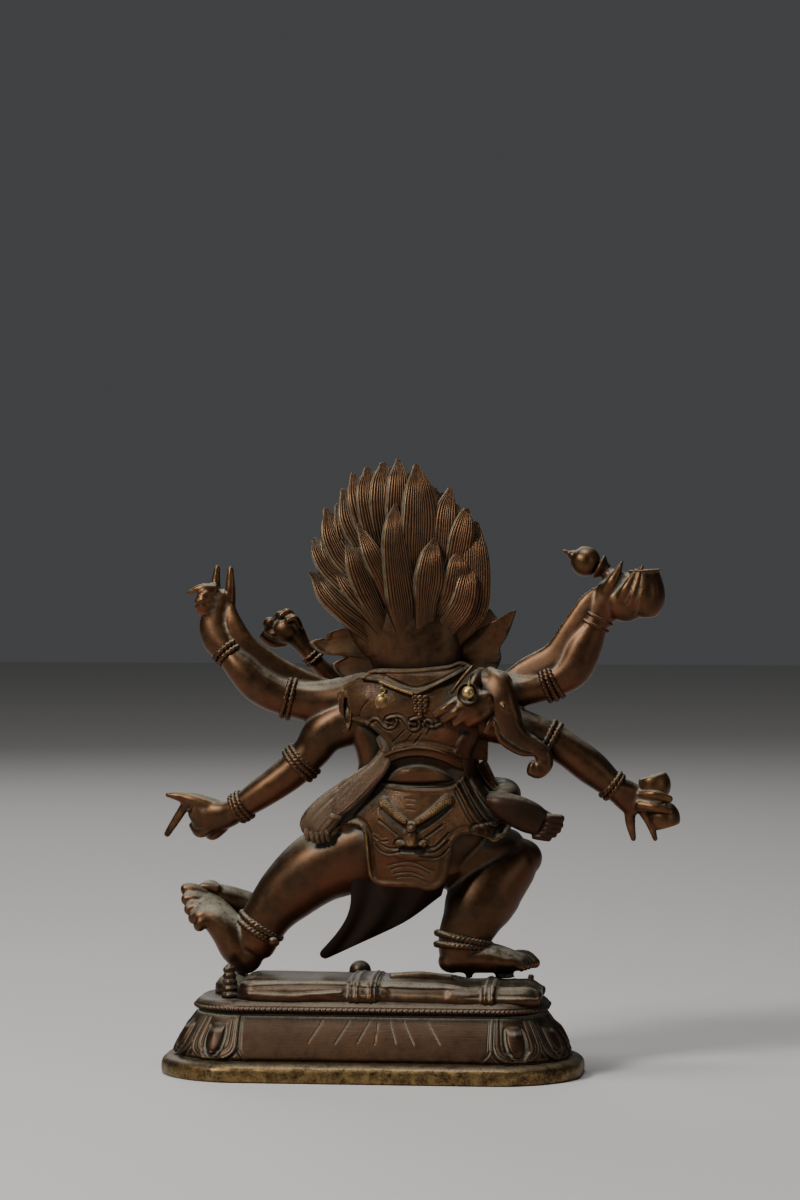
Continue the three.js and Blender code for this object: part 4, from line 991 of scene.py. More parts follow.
FINGERS = [
    ([(49.6, -1, 121.4), (49.8, -1, 127.4), (49.2, -1, 134)], 2.2, 0.85),
    ([(45.4, -0.4, 121), (45, -0.4, 127.4), (44.9, -0.4, 133.6)], 2.1, 0.9),
    ([(49.8, 1, 125.4), (52.4, 2.8, 125.6), (54.4, 2.6, 124.9)], 1.2, 1),
    ([(49.8, 1.2, 123.6), (52.8, 3.3, 123.7), (55, 2.9, 123.2)], 1.2, 1.05),
    ([(49.9, 1.2, 121.8), (52.8, 3.3, 121.8), (54.8, 2.9, 121.5)], 1.2, 1.05),
    ([(50.2, 1, 120), (52.6, 2.8, 119.9), (54.3, 2.5, 119.8)], 1.1, 0.95),
    ([(49.4, 0.6, 127), (53.8, 1.4, 127.4), (58.4, 0.8, 125.8)], 1.9, 0.6),
    ([(50, 0, 58.2), (56, 0, 60.4), (60.4, -0.2, 61.6), (65, -0.4, 62.3)], 3, 0.8),
    ([(59, -0.6, 59.6), (62.2, -1, 54.6), (65.3, -1.2, 49.8)], 1.55, 1.05),
    ([(50, 1, 53), (54.5, 0, 50.6), (57, -2, 52.6)], 2, 1.5),
    ([(47, 0, 52.6), (51, -2, 49.6), (54, -3.6, 51.6)], 1.9, 1.4),
    ([(-72.4, 2, 124.5), (-75.4, 4.2, 130.2), (-78.2, 3.4, 135.9)], 2.7, 0.5),
    ([(-76.8, 3.4, 121.6), (-79.4, 6.4, 127.2), (-82.6, 5.4, 133.2)], 2.3, 0.9),
    ([(-78.8, 3.6, 119.8), (-81.8, 7, 125.6), (-84.5, 5.8, 134.6)], 1.9, 0.6),
    ([(-81, 3.6, 119.2), (-84.2, 7.2, 124.6), (-85.6, 6.2, 131.6)], 1.7, 0.9),
    ([(-80.4, -1, 60), (-80.6, -1, 54.6), (-81.6, -1, 49.6)], 2, 0.9),
    ([(-84, -1, 59.5), (-86.6, -0.6, 55), (-88.4, -1, 49.6)], 1.9, 0.8),
    ([(-84, 1, 63.5), (-88.5, 3.6, 63.8), (-93, 3, 62.4)], 1.9, 1.2),
    ([(-83.4, 1.5, 60.5), (-88.5, 3.6, 59.9), (-93, 3, 58.8)], 1.9, 1.2),
]


def tapering(points, root, tip):
    """Stations for a finger: its radius goes from root to tip, slowly at first."""
    radius = root + (tip - root) * np.linspace(0, 1, len(points)) ** 1.4
    return [(*p, r, r) for p, r in zip(points, radius)]


def finger(points, root, tip):
    """A finger or toe through a few points, with a round end."""
    return tube(tapering(points, root, tip), around=16, step=0.4, start=0.3, end=0.9)


RIGHT_SHIN = [
    (-46.2, -7.4, 44.6, 5.6, 6.6), (-43.6, -5.6, 41, 8.2, 8), (-37.4, -3, 35, 10.8, 9.6),
    (-33.2, -1.2, 28.6, 10.7, 9.8), (-30.6, -0.4, 23, 9, 8.8), (-28.7, 0, 18.4, 8, 7.8),
    (-28.2, 0.4, 13.4, 7.4, 7.2),
]

# The way across the left foot, and where its toes end in x and z
FOOT_WIDTH = (-0.22, 0.7, -0.68)
LEFT_TOES = [(59.6, 32.2), (59.2, 29.2), (58, 26.2), (56.4, 23.6), (54.4, 21.4)]


def flesh_skins():
    """The trunk with its belly, and the two legs with their feet and toes."""
    left_leg = [
        (-6, 0, 50, 13, 12), (7, 0, 44.5, 12.6, 11.6), (17.7, 0, 39.4, 11.3, 10.6), (26.8, 0, 31.8, 9.6, 9.2),
        (33, 0.2, 24.6, 7.8, 7.8), (38, 0.5, 16.2, 7.4, 6.6),
    ]
    left_foot = [
        (39.8, 1, 9.4, 3, 3.4), (42.2, 1, 13.6, 5.4, 5.9), (45.2, 0.9, 19.4, 5.6, 6.1),
        (49.2, 0, 24.2, 4.6, 6.2), (52.4, -0.4, 26.6, 3.3, 6.6), (53.8, -0.5, 27.4, 2.5, 6.4),
    ]
    thigh = [(-18, -2, 47, 13, 12), (-30, -5, 44.5, 12, 11.2), (-42, -8, 42.6, 9.2, 8.8)]
    right_foot = [
        (-24.2, 1, 11, 3.7, 5.4), (-27.5, 1, 12, 4.7, 6.2), (-33, 0.6, 12.4, 5, 6.8),
        (-38.6, -0.4, 11.9, 4.5, 7.6), (-43, -1.4, 11.2, 3.6, 8), (-45.4, -1.6, 10.9, 2.9, 7.8),
    ]
    flank = [
        (4, 3, 89, 5, 6), (1.6, 4, 82.6, 5.2, 6), (-0.6, 4.6, 76.6, 5.2, 6), (-0.8, 5, 70, 5, 5.4),
        (3, 5, 62, 6, 6), (7, 3.6, 54, 6, 7),
    ]
    made = [
        tube(TRUNK, 48), ball((-18, -7, 76), (13, 8.5, 10), 40, 24), tube(flank, 36),
        tube(left_leg, 48), tube(left_foot, 40, axis=FOOT_WIDTH, end=0.3),
        ball((40.4, 1, 12.4), (6, 5, 6.2), 32, 20), tube(thigh, 48), tube(RIGHT_SHIN, 48),
        tube(right_foot, 32), ball((-45.8, -7, 42.8), (6.9, 7.0, 6.2), 36, 24),
        ball((-25.2, 1, 10.9), (4.5, 5.6, 3.6), 24, 16), ball((40.6, 1, 17), (6.2, 5.5, 6.6), 32, 20),
    ]
    across = unit(np.asarray(FOOT_WIDTH))
    for toe, (end_x, end_z) in enumerate(LEFT_TOES):
        big = 2.2 if toe == 0 else 1.84 - 0.05 * toe
        snug = 2.3 - 0.06 * toe
        root = np.array([52.6, -0.4, 26.6]) + across * (2.8 * toe - 5.3)
        end = np.array([end_x, root[1] + 0.3, end_z])
        made.append(finger([root, (root + end) / 2 + (0.4, 0.2, 0.7), end], snug, snug * 0.9))
        tip = np.array([-50.4 + 0.8 * toe, -8.4 + 3.3 * toe, 9.6])
        made.append(finger([tip + (6.0, 0.4, 2.2), tip + (2.6, 0.2, 2.0), tip], big, big * 0.8))
    made += [
        turned([(0, 0), (r, 0), (r * 0.8, 2), (r, 4), (0, 4)], (x, y, 6.1), (0, 0, 1), 16)
        for x, y, r in ((-30.5, 2, 1.1), (-41.5, 0, 3.0))
    ]
    return made


def arm_skins():
    """The six arms with their hands, and the hide's limbs that are cast on with them."""
    made = [tube(stations, 36) for stations in ARMS.values()]
    made += [tube(stations, 36, axis=(0, 0, 1)) for stations in FRONT_ARMS.values()]
    made += [finger(*f) for f in FINGERS]
    made.append(ball((-79.2, 2.6, 123), (6.4, 4.6, 5.8), 32, 20))
    made.append(
        tube([(-73, 0.6, 132.4, 2.2, 2.2), (-77, 1.5, 130.6, 2.6, 2.6), (-81.5, 2, 129.4, 3.2, 3)], 24)
    )
    return made + hide_limb_skins()


def ring_about(stations, place, grow):
    """The path of a ring round a limb: the limb's own ellipse at a place along its stations,
    grown by a little."""
    t = np.asarray([place - 0.01, place, place + 0.01])
    before, here, after = spline(stations, t)
    ahead = unit(after[:3] - before[:3])
    across = unit(np.cross(ahead, (0, 1, 0)))
    deep = np.cross(across, ahead)
    turns = circle(28)
    side = np.outer((here[3] + grow) * np.cos(turns), across)
    return here[:3] + side + np.outer((here[4] + grow) * np.sin(turns), deep)


def rope_set(stations, place, strands, radius, spread, grow=0.2, twist=0.26):
    """Rope rings side by side round a limb, the middle one the fullest."""
    span = np.linalg.norm(
        np.subtract(stations[min(int(place) + 1, len(stations) - 1)][:3], stations[int(place)][:3])
    )
    made = []
    for k in range(strands):
        off = (k - (strands - 1) / 2) * spread
        path = ring_about(stations, place + off / max(span, 1), grow)
        fuller = 1.15 if k == strands // 2 and strands > 2 else 1
        made.append(rope(path, radius * fuller, twist=twist, closed=True, wear=0.06))
    return made


def back_depth(x, z, rows):
    """Depth of a rounded back at places in x and z: the far half of an ellipse whose middle and
    half widths change with height by the rows (middle x, middle y, z, half width, half depth)."""
    rows = np.asarray(rows, float)
    rows = rows[np.argsort(rows[:, 2])]
    rows = spline(rows, np.linspace(0, len(rows) - 1, 12 * len(rows)))
    cx, cy, w, d = (np.interp(z, rows[:, 2], rows[:, k]) for k in (0, 1, 3, 4))
    share = np.clip(np.abs(x - cx) / w, 0, 0.995)
    return cy + d * np.sqrt(1 - share**2)


def over_limb(x, z, line, radius, y=0.0):
    """Depth of a round limb's far side along a line in x and z."""
    return y + np.sqrt(np.clip(radius**2 - near(x, z, line) ** 2, 0, None))


def either(a, b):
    """The greater of two depths with the corner between them rounded."""
    return 0.5 * (a + b + np.sqrt((a - b) ** 2 + 1))


def sheet(x, y, z, thick, wear=0.0):
    """A slab of cloth or hide from the places of its outer face and its thickness."""
    front = np.stack([x, y, z], -1)
    grain = np.stack([x, z, y * 0], -1)
    return slab(front, front - (0, thick, 0), grain=grain, wear=wear)


# Hide, in millimetres above the plate

TORSO_ROWS = [
    (-15, 3, 66, 14.5, 10.2), (-15, 3, 70, 15, 10.5), (-14.5, 3, 76.5, 17.5, 11.5), (-14.5, 3, 84, 21, 12.6),
    (-14.5, 3, 92, 24, 12.6), (-14.5, 2, 99, 24, 10.6), (-14.5, 1, 105, 20, 8),
]
HIDE_TOP = [
    (8.5, 97.5), (2.5, 100.4), (-1.8, 102.6), (-13.7, 102.9), (-24.2, 103.9), (-28, 105), (-31.5, 103.8),
    (-37, 98.5),
]
HIDE_HEM = [
    (5.5, 86.2), (0.6, 85.4), (-2.7, 83.5), (-5.6, 80.7), (-6.6, 78.6), (-7.4, 76.9), (-9.9, 77.9),
    (-15.6, 78.8), (-21.3, 78.1), (-26.8, 76.4), (-29.4, 75), (-36.4, 74),
]
COLLAR_TOP = [(2.6, 100.2), (-1.8, 102.3), (-13.7, 102.7), (-24.2, 103.7), (-28, 105), (-31.5, 104)]
COLLAR_HEM = [
    (2.5, 99.6), (-4.2, 98.5), (-9.9, 96.4), (-14.6, 95), (-18.5, 96.3), (-25.6, 99.8), (-31.5, 103.4),
]
SCROLL = [
    [
        (0.1, 85.4), (-1.3, 87.1), (-3.2, 87.3), (-5.1, 85.2), (-7, 84.5), (-8.9, 85.5), (-9.4, 87.1),
        (-8, 88.1), (-6.1, 87.4), (-6.3, 85.4),
    ],
    [
        (-6.1, 87.4), (-8.5, 88.3), (-10.8, 87.9), (-12.3, 86), (-13.7, 84.1), (-15.6, 84.3), (-16.6, 86),
        (-15.6, 87.4), (-13.7, 87.2), (-13.2, 85.5),
    ],
    [(-13.7, 87.2), (-15.6, 87.9), (-17.5, 87.2), (-19.4, 85.1), (-20.4, 84.9), (-23.2, 86)],
    [(-17.5, 85.5), (-18.5, 87.2), (-20.1, 86.5), (-20.4, 85.1)],
    [(-6.5, 86.3), (-8, 85.9)], [(-13.6, 86), (-15.2, 85.7)],
]
HIDE_STROKES = [
    [(-11.8, 84.1), (-8, 80.3)], [(-14.6, 83.6), (-12.3, 80.8)], [(-17, 82.9), (-14.6, 79.6)],
    [(-19.6, 84.6), (-18.5, 82.6)],
    [(-0.1, 93), (1.8, 90.6), (3, 87.8)],
]


def hide_relief(x, z):
    """Chased work on the hide: raised scroll lines beside cuts, cut strokes, the raised rims of
    its open edge and of the arch over the waist, and a fold down the right side."""
    high = 0.12 * np.sin(x * 0.55 + z * 0.2) * hump(z - 92, 9)
    high = chased(high, x, z, SCROLL, 0.6, 0.55, 0.44, -0.35, 0.75, 0.36)
    high = chased(high, x, z, HIDE_STROKES, 0.8, -0.5, 0.4)
    hem = near(x, z, HIDE_HEM[:10], 0.8)
    high = high + 0.55 * hump(hem - 0.55, 0.8) - 0.3 * hump(hem - 1.9, 0.9)
    fold = near(x, z, [(-30.1, 82.3), (-28.2, 79.4), (-27.3, 75.0)], 0.8)
    high = high + 0.9 * hump(fold, 1.0) - 0.5 * hump(fold - 1.7, 1.0) * (x < -28.5)
    return high


def torso_skins():
    """The hide over the back, the shawl collar with its rope edge, the band and bare waist below,
    and the flap on the left shoulder."""
    x, z = panel(HIDE_TOP, HIDE_HEM, 130, 190)
    y = back_depth(x, z, TORSO_ROWS) + 1.0 + hide_relief(x, z)
    made = [sheet(x, y, z, 2.6)]
    x, z = panel(COLLAR_TOP, COLLAR_HEM, 40, 150)
    rim = near(x, z, COLLAR_HEM, 0.8)
    inner = near(x, z, [(0.6, 101.4), (-5.1, 100.6), (-14.6, 97.1), (-23.2, 99.8), (-30.8, 103.9)], 0.8)
    top = near(x, z, COLLAR_TOP, 0.8)
    y = back_depth(x, z, TORSO_ROWS) + 1.9 + 0.7 * hump(rim - 0.5, 0.8) - 0.5 * hump(inner, 0.8)
    y = y + 0.8 * hump(top - 0.5, 0.9) + 0.5 * hump((z - 100.5) / 2.6, 1)
    made.append(sheet(x, y, z, 3.0))
    edge = curve([(-3.6, 98.8), (-9.9, 96.5), (-14.6, 95.1)], 0.8)
    depth = back_depth(edge[:, 0], edge[:, 1], TORSO_ROWS) + 2.9
    made.append(rope(np.stack([edge[:, 0], depth, edge[:, 1] + 0.2], -1), 0.5, pitch=0.95, wear=0.24))
    x, z = panel(
        [(-3.2, 77.4), (-9.9, 78.2), (-15.6, 79.2), (-21.3, 78.6), (-28.5, 77)],
        [(-1.5, 66), (-15, 65.6), (-30, 66)], 90, 150,
    )
    ridge = 78.8 - 0.025 * (x + 15.9) ** 2
    lower = 76.1 - 0.028 * (x + 15.5) ** 2
    waist = 73.1 - 0.034 * (x + 15.6) ** 2
    y = back_depth(x, z, TORSO_ROWS) + 0.9 + 0.8 * hump(z - ridge + 0.2, 0.75)
    y = (
        y + 0.5 * step_up(z, lower - 0.1, lower + 0.35)
        - 2.3 * step_up(lower + 0.1 - z, 0, 0.5) * step_up(z - waist, -0.5, 0.3)
    )
    y = y - 0.4 * step_up(waist - z, -0.2, 0.3) + 0.9 * step_up(waist - z, 0, 2.2) * step_up(z, 66.9, 68.6)
    y = y - 1.4 * hump(z - 67.0 - 0.006 * (x + 16) ** 2, 0.7)
    made.append(sheet(x, y, z, 3.0))
    x, z = panel([(10.2, 95.6), (7.6, 95.9), (5.6, 94.6)], [(8.6, 82.8), (7.4, 82.6), (6.0, 83.6)], 90, 44)
    x = x - 1.0 * np.sin(np.linspace(0, math.pi, 90))[:, None] * np.linspace(0, 1, 44)[None] ** 2
    slot = np.hypot((x - 6.9 - 0.06 * (z - 89)) / 0.85, (z - 89.6) / 3.9)
    side = np.linspace(-1, 1, 44)[None] * np.ones((90, 1))
    y = (
        9.6 + 0.5 * (1 - side**2) - 0.18 * (x - 7) + 0.55 * hump(slot - 1.35, 0.4)
        - 1.7 * step_up(1.05 - slot, 0, 0.3)
    )
    made.append(sheet(x, y, z, 3.2, wear=0.05 + 0.25 * hump(slot - 1.35, 0.4) * (side > 0)))
    return made


def collar_drop_skins():
    """The pendant on its ring and the tassel of curled locks under the collar's point."""
    drop = [(0, 0), (1.9, 0.1), (2.3, 0.6), (2.1, 1.2), (1.3, 1.7), (0, 1.9)]
    turn = circle(20)
    made = [turned(drop, (-4.9, 14.2, 92.6), (0.1, 1, 0.1), 36, step=0.2, wear=0.3)]
    for x, z, size, thick in ((-4.9, 92.6, 2.1, 0.42), (-4.7, 96.2, 0.75, 0.3)):
        rim = np.stack(
            [x + size * np.cos(turn), 15.0 - 0.08 * size * np.cos(turn), z + size * 1.1 * np.sin(turn)], -1,
        )
        made.append(rope(rim, thick, twist=0.04, closed=True, wear=0.75))
    made.append(ball((-4.8, 15.4, 94.9), (0.6, 0.6, 0.5), 12, 8, wear=0.6))
    for row in range(4):
        for side in (-1, 0, 1):
            if row == 3 and side:
                continue
            x, z = -16.6 + side * (1.35 - 0.22 * row), 93.9 - 1.75 * row
            turn = np.linspace(0, 1.7 * math.pi, 7)
            size = 0.62 - 0.05 * row
            path = np.stack([
                x + side * 0.3 + size * np.cos(turn), np.full(7, 17.2 - abs(side) * 0.4),
                z + size * np.sin(turn),
            ], -1)
            made.append(tube([(*p, 0.5, 0.6) for p in path], 10, step=0.3))
    return made


def sash_skins():
    """The hide's leg from the waist down: a broad furred paw on the left thigh, and over it the
    narrower upper layer that ends in a hook."""

    def grooves(turns, share):
        return 1 + 0.035 * np.sin(15 * turns) * step_up(share, 0.3, 0.7)

    upper = [
        (-4, 10.6, 81.4, 1.8, 1.2), (-5.8, 12.6, 77.4, 2.2, 1.4), (-3.6, 13.3, 72.8, 2.9, 1.6),
        (0.4, 13.4, 68.4, 3.2, 1.7), (4.6, 13.3, 64, 3.1, 1.6), (8, 13.2, 60.6, 2.7, 1.5),
        (10, 13.2, 58.4, 1.5, 1.2),
    ]
    lower = [
        (-2.6, 10.6, 72, 2.4, 2), (3.2, 10.6, 67.2, 3.6, 2.4), (9.2, 10.8, 62, 4.4, 2.6),
        (13.6, 10.8, 57.6, 5, 2.9), (16.6, 10.4, 54, 5, 3), (17.4, 9.8, 51.8, 4, 2.6),
    ]
    made = [
        tube(upper, 90, step=0.4, section=grooves, end=0.7),
        tube(lower, 110, step=0.4, section=grooves, end=0.5),
    ]
    for toe in range(5):
        x, z = 19.2 - 1.55 * toe, 53.2 - 0.5 * math.sin(toe * 0.8)
        made.append(finger([(x, 11.4, z), (x - 0.1, 12.6, z - 1.9), (x - 0.5, 11.8, z - 3.7)], 1.05, 0.7))
    made.append(
        tube([(12.4, 12, 58, 0.5, 0.7), (10.8, 13.6, 57, 0.9, 0.9), (8.6, 13.4, 56.6, 0.6, 0.7)], 16)
    )
    return made


# Skirt, in millimetres above the plate

SKIRT_ROWS = [
    (-16.5, 0.5, 70, 15, 11.6), (-17, 1.5, 64, 20, 13.6), (-16, 2, 57, 25, 15), (-14.5, 2, 50, 25, 14.8),
    (-14, 2, 42, 22, 13.2), (-14, 2, 34, 19, 11.6),
]
SKIRT_TOP = [
    (-2.4, 67.8), (-4.6, 67.4), (-11.8, 66.4), (-18.5, 66), (-25.6, 66.6), (-30.2, 70.4), (-35.6, 74.5),
]
SKIRT_HEM = [
    (12.2, 50.6), (14, 49.3), (11.8, 49.9), (9.9, 52.3), (7.5, 53.8), (5.2, 54.4), (2.8, 54), (1.3, 51.9),
    (0.8, 48.1), (0.3, 41.5), (-0.5, 37.7), (-2.5, 35.8), (-6.1, 35.4), (-11.8, 35.3), (-15.6, 35),
    (-18.5, 34.3), (-21.9, 35), (-24.3, 37.8), (-25.2, 41.6), (-25.9, 45.4), (-26.8, 49), (-28.3, 51.2),
    (-30.9, 52), (-34.2, 51.4), (-37.1, 50.2), (-39, 49.3), (-41.4, 50.4), (-43.4, 52.6), (-44.4, 56),
    (-42.4, 60), (-40.4, 64.4),
]
HIP_FOLDS = [
    [(-27.2, 67.6), (-29.6, 63.4), (-32.8, 57.6), (-36.8, 52.6)],
    [(-28.9, 69.4), (-31.6, 64.4), (-35.2, 58.6), (-39.2, 54)],
    [(-30.6, 71), (-33.6, 66), (-37.4, 60.8), (-41.6, 57.4)],
    [(-32.6, 72.6), (-35.6, 68), (-38.8, 64.4)],
    [(-33.4, 53.6), (-37.2, 54.4), (-41, 54.8)],
]
BROWS = [
    [(-5.1, 61.6), (-6.5, 59.9), (-8.9, 57.9), (-11.7, 56)],
    [(-16, 55.9), (-18.9, 57.7), (-21.7, 59.7), (-25, 62.6)],
]
LIDS = [[(-3.7, 56.2), (-6, 54.5), (-9.4, 51.7)], [(-18.4, 51.1), (-20.8, 52.8), (-23.6, 54.9)]]
WHISKERS = [
    [(-2.7, 48.3), (-4.4, 46.5), (-7, 45.8), (-9.8, 46.3)], [(-3.7, 49.3), (-6, 47.8), (-9.4, 47.4)],
    [(-2.2, 51), (-4.4, 49.6), (-6.4, 49.8)], [(-18.4, 48), (-20.8, 48), (-23.1, 49.9), (-25.3, 52.3)],
    [(-17.2, 46.3), (-21, 46.4), (-23.6, 48.3), (-25.4, 50)],
    [(-16.5, 44.9), (-21.7, 44.7), (-24.1, 46.2), (-25.5, 47.8)],
]
WAVES = [
    [(-6.5, 42), (-8.9, 42.7), (-11.3, 43.2), (-14.1, 43.3), (-17.4, 41.8), (-20.3, 40.4)],
    [(-7.4, 40.7), (-10.3, 41.7), (-13.2, 41.8), (-16, 41.1), (-18.9, 39.7)],
    [(-8.4, 39.5), (-12.2, 40.1), (-14.6, 39.8), (-17.4, 38.6)],
    [(-9, 38.2), (-12.2, 38.7), (-15.1, 38.3), (-17.9, 37.1)],
]
FOREHEAD = [[(-12, 62.9), (-15.2, 62.6)], [(-12.6, 61.4), (-14.8, 61.2)], [(-12.2, 59.7), (-15, 59.4)]]


def skirt_depth(x, z):
    """Depth of the skirt: the rump's rounded back, laid over both thighs."""
    left = over_limb(x, z, [(-6, 49), (7, 44.5), (17.7, 39.4)], 12.6)
    right = over_limb(x, z, [(-20, 48), (-32, 44), (-43.5, 41)], 12.4, y=-1.0)
    return either(either(back_depth(x, z, SKIRT_ROWS), left), right) + 0.7


def brow_form(x, z, brow):
    """Height share of a brow that widens towards its outer end, lined like a feather."""
    inner, outer = (np.array(p) for p in ((brow[-1], brow[0]) if brow[0][0] > -14 else (brow[0], brow[-1])))
    run = outer - inner
    length = math.hypot(*run)
    along = ((x - inner[0]) * run[0] + (z - inner[1]) * run[1]) / length
    half = 1.0 + 0.85 * np.clip(along / length, 0, 1)
    ridge = np.sqrt(np.clip(1 - (near(x, z, brow, 0.5) / half) ** 2, 0, 1))
    beside = np.abs((z - inner[1]) * run[0] - (x - inner[0]) * run[1]) / length
    return ridge, 0.8 + 0.2 * np.abs(np.sin((along + 0.8 * beside) * 3.6))


def mask_relief(x, z):
    """The tiger's mask: striated brows over a sunk socket, lid slits, a ringed snout over a
    three-sided nose between two wings, cheek lines and waves on the chin, and plain strokes on
    the forehead. Also gives how worn each point is."""
    high = np.zeros_like(x)
    worn = np.zeros_like(x)
    for brow in BROWS:
        ridge, lined = brow_form(x, z, brow)
        under = [(a, b - 2.4) for a, b in brow]
        high = high - 1.0 * hump(near(x, z, under, 0.5), 1.6) + 1.6 * ridge**0.6 * lined
        worn = worn + 0.24 * ridge * step_up(lined, 0.9, 0.99)
    high = chased(high, x, z, LIDS, 0.5, -0.45, 0.42, 0.18, 0.8, 0.5)
    high = chased(high, x, z, WHISKERS, 0.5, -0.4, 0.36, 0.22, 0.65, 0.4)
    high = chased(high, x, z, WAVES, 0.5, -0.4, 0.36)
    high = chased(high, x, z, FOREHEAD, None, -0.3, 0.35)
    ring = np.hypot((x + 14) / 1.1, z - 54.2)
    high = high + 1.3 * step_up(2.0 - ring, 0, 0.9) - 0.4 * hump(ring - 0.9, 0.4)
    bridge = near(x, z, [(-14, 52.4), (-14, 50.0)])
    high = high + 1.2 * step_up(2.6 - bridge, 0, 1.6)
    fall = (52.4 - z) / 3.8
    share = np.abs(x + 14) / (0.9 + 2.7 * np.clip(fall, 0, 1))
    nose = np.clip(1 - share, 0, 1) ** 0.8 * np.clip(fall, 0, 1) * step_up(z, 48.1, 48.8)
    high = high + 3.2 * nose
    worn = worn + 0.18 * nose * step_up(fall, 0.35, 0.9)
    for side in (-1, 1):
        wing = np.hypot((x + 14 - side * 3.7) / 1.1, z - 48.9)
        high = high + 1.2 * np.sqrt(np.clip(1 - (wing / 1.15) ** 2, 0, 1)) - 0.5 * hump(wing - 1.5, 0.45)
    high = high - 1.5 * hump(near(x, z, [(-10.8, 47.0), (-14, 46.9), (-17.4, 47.0)]), 1.2)
    high = high + 0.5 * hump(near(x, z, [(-9.6, 45.2), (-14, 44.6), (-18.4, 45.2)]), 1.4)
    return high, np.clip(worn, 0, 1)


def skirt_skins():
    """The tiger skin: one sheet over the rump with the mask, raised along its cut hem, and the
    sheet round the front."""
    x, z = panel(SKIRT_TOP, SKIRT_HEM, 170, 330)
    hem = near(x, z, SKIRT_HEM, 0.8)
    left = step_up(x, -4, 0)
    high, worn = mask_relief(x, z)
    y = (
        skirt_depth(x, z) + high + (0.45 + 0.75 * left) * hump(hem - 0.75, 0.95)
        - (0.15 + 0.3 * left) * hump(hem - 2.2, 0.9)
    )
    worn = worn + left * 0.3 * hump(hem - 0.6, 0.8)
    top = near(x, z, SKIRT_TOP, 0.8)
    y = y + 0.4 * hump(top - 0.8, 0.9)
    for fold in HIP_FOLDS:
        off = near(x, z, fold, 0.6)
        y = y + 0.9 * hump(off, 0.95) - 0.5 * hump(off - 1.3, 0.7) * (x < -27)
    made = [sheet(x, y, z, 2.2, wear=worn)]
    front = [
        (-18, -1, 68.5, 14.6, 11), (-18.5, -1.5, 62, 19.5, 13), (-16.5, -3, 54, 21, 13),
        (-14.5, -4, 48.5, 17.5, 11),
    ]

    def folds(turns, share):
        return 1 + 0.03 * np.sin(13 * turns) * step_up(share, 0.2, 0.9) * (np.sin(turns) < 0.15)

    made.append(tube(front, 96, section=folds, start=0.1, end=0.1))
    return made


def flap_skins():
    """The pointed end of cloth that hangs between the legs, with long folds."""
    x, z = panel(
        [(6.8, 38), (-4, 37), (-14, 37), (-24, 38)],
        [
            (15.8, 14.2), (16.3, 13.2), (16.1, 12.2), (15.2, 11.6), (13.6, 11.8), (5.1, 15.8), (-10.4, 23.3),
            (-21.8, 31.6),
        ],
        90, 110,
    )
    down = np.linspace(0, 1, 90)[:, None]
    across = np.linspace(0, 1, 110)[None]
    x = x - 4.2 * np.sin(math.pi * down) * (1 - across) ** 2
    y = 8.0 - 5.5 * down + 1.1 * np.sin(across * 17 + 2 * down) * (1 - 0.5 * down) * (1 - 0.6 * across)
    return [sheet(x, y, z, 1.6)]


# The hide's head and limbs, in millimetres above the plate


def elephant_skins():
    """The hide's head at the shoulder: brow, ear, eye in its ring, lip, tusks and a trunk that
    curls up at its end."""
    def flat(turns, share):
        return boxy(turns, 2.9) * (0.97 + 0.022 * np.sin(share * 95) * step_up(share, 0.55, 0.7))

    trunk = [
        (-37, 8.4, 101, 3, 3), (-39.2, 10, 98.2, 4.8, 4.2), (-41.3, 11.2, 94.6, 4.5, 4.7),
        (-42.2, 11.6, 91.4, 4.4, 4.7), (-42.9, 11.6, 88, 4.9, 4.6), (-44.2, 11.6, 84.6, 4.3, 4.2),
        (-47.4, 11.6, 81.4, 3.4, 3.6), (-51.6, 11.6, 79, 2.7, 3), (-54.4, 11.6, 76.2, 2.7, 3),
        (-54.4, 11.6, 73.4, 2.9, 3), (-52.6, 11.8, 71.9, 2.9, 2.8), (-50.6, 12, 72.4, 2.5, 2.5),
    ]
    eye_turn = np.linspace(0.3, 1.65 * math.pi, 10)
    ring = np.stack([-42.6 + 1.2 * np.cos(eye_turn), np.full(10, 16.05), 91.4 + 1.0 * np.sin(eye_turn)], -1)
    lip = [
        (-40.4, 14.6, 84, 0.8, 1), (-41.4, 14.8, 81.4, 1.1, 1.2), (-44.4, 14.4, 79, 1.2, 1.2),
        (-48.2, 13.8, 77.2, 1.1, 1.1), (-52.4, 13.2, 76.8, 0.7, 0.8),
    ]
    fold = [
        (-46.8, 13.2, 84.4, 0.5, 0.6), (-50.8, 13.6, 81.6, 0.6, 0.6), (-54.8, 13.4, 78.8, 0.5, 0.5),
        (-57, 12.6, 75.4, 0.4, 0.5),
    ]
    return [
        tube(trunk, 60, step=0.4, section=flat, end=0.5),
        tube([
            (-36.4, 10.6, 97.6, 3, 2), (-36.8, 12, 94.4, 3.6, 2.2), (-36.4, 12.6, 90.8, 3.4, 2.2),
            (-36.2, 12, 87.8, 2, 1.6),
        ], 36),
        ball((-38.4, 8.4, 98.2), (6.2, 5.2, 4.6), 36, 24),
        rope(ring, 0.42, twist=0.05, wear=0.0),
        ball((-42.4, 16.3, 91.4), (0.6, 0.8, 0.5)),
        ball((-44.3, 15.8, 89.8), (0.35, 0.6, 0.35)),
        tube(lip, 16, wear=0.42),
        tube(fold, 12),
        tube(
            [(-38.6, 14.6, 88, 0.5, 0.8), (-37.8, 15.4, 86, 1.1, 1.2), (-36.6, 15, 83.6, 0.9, 1)],
            20, wear=0.14,
        ),
        tube(
            [(-38.8, 14.6, 88, 0.5, 0.8), (-39.9, 15.2, 85.6, 0.9, 1.1), (-40.2, 15, 83, 0.8, 1)],
            20, wear=0.14,
        ),
    ]


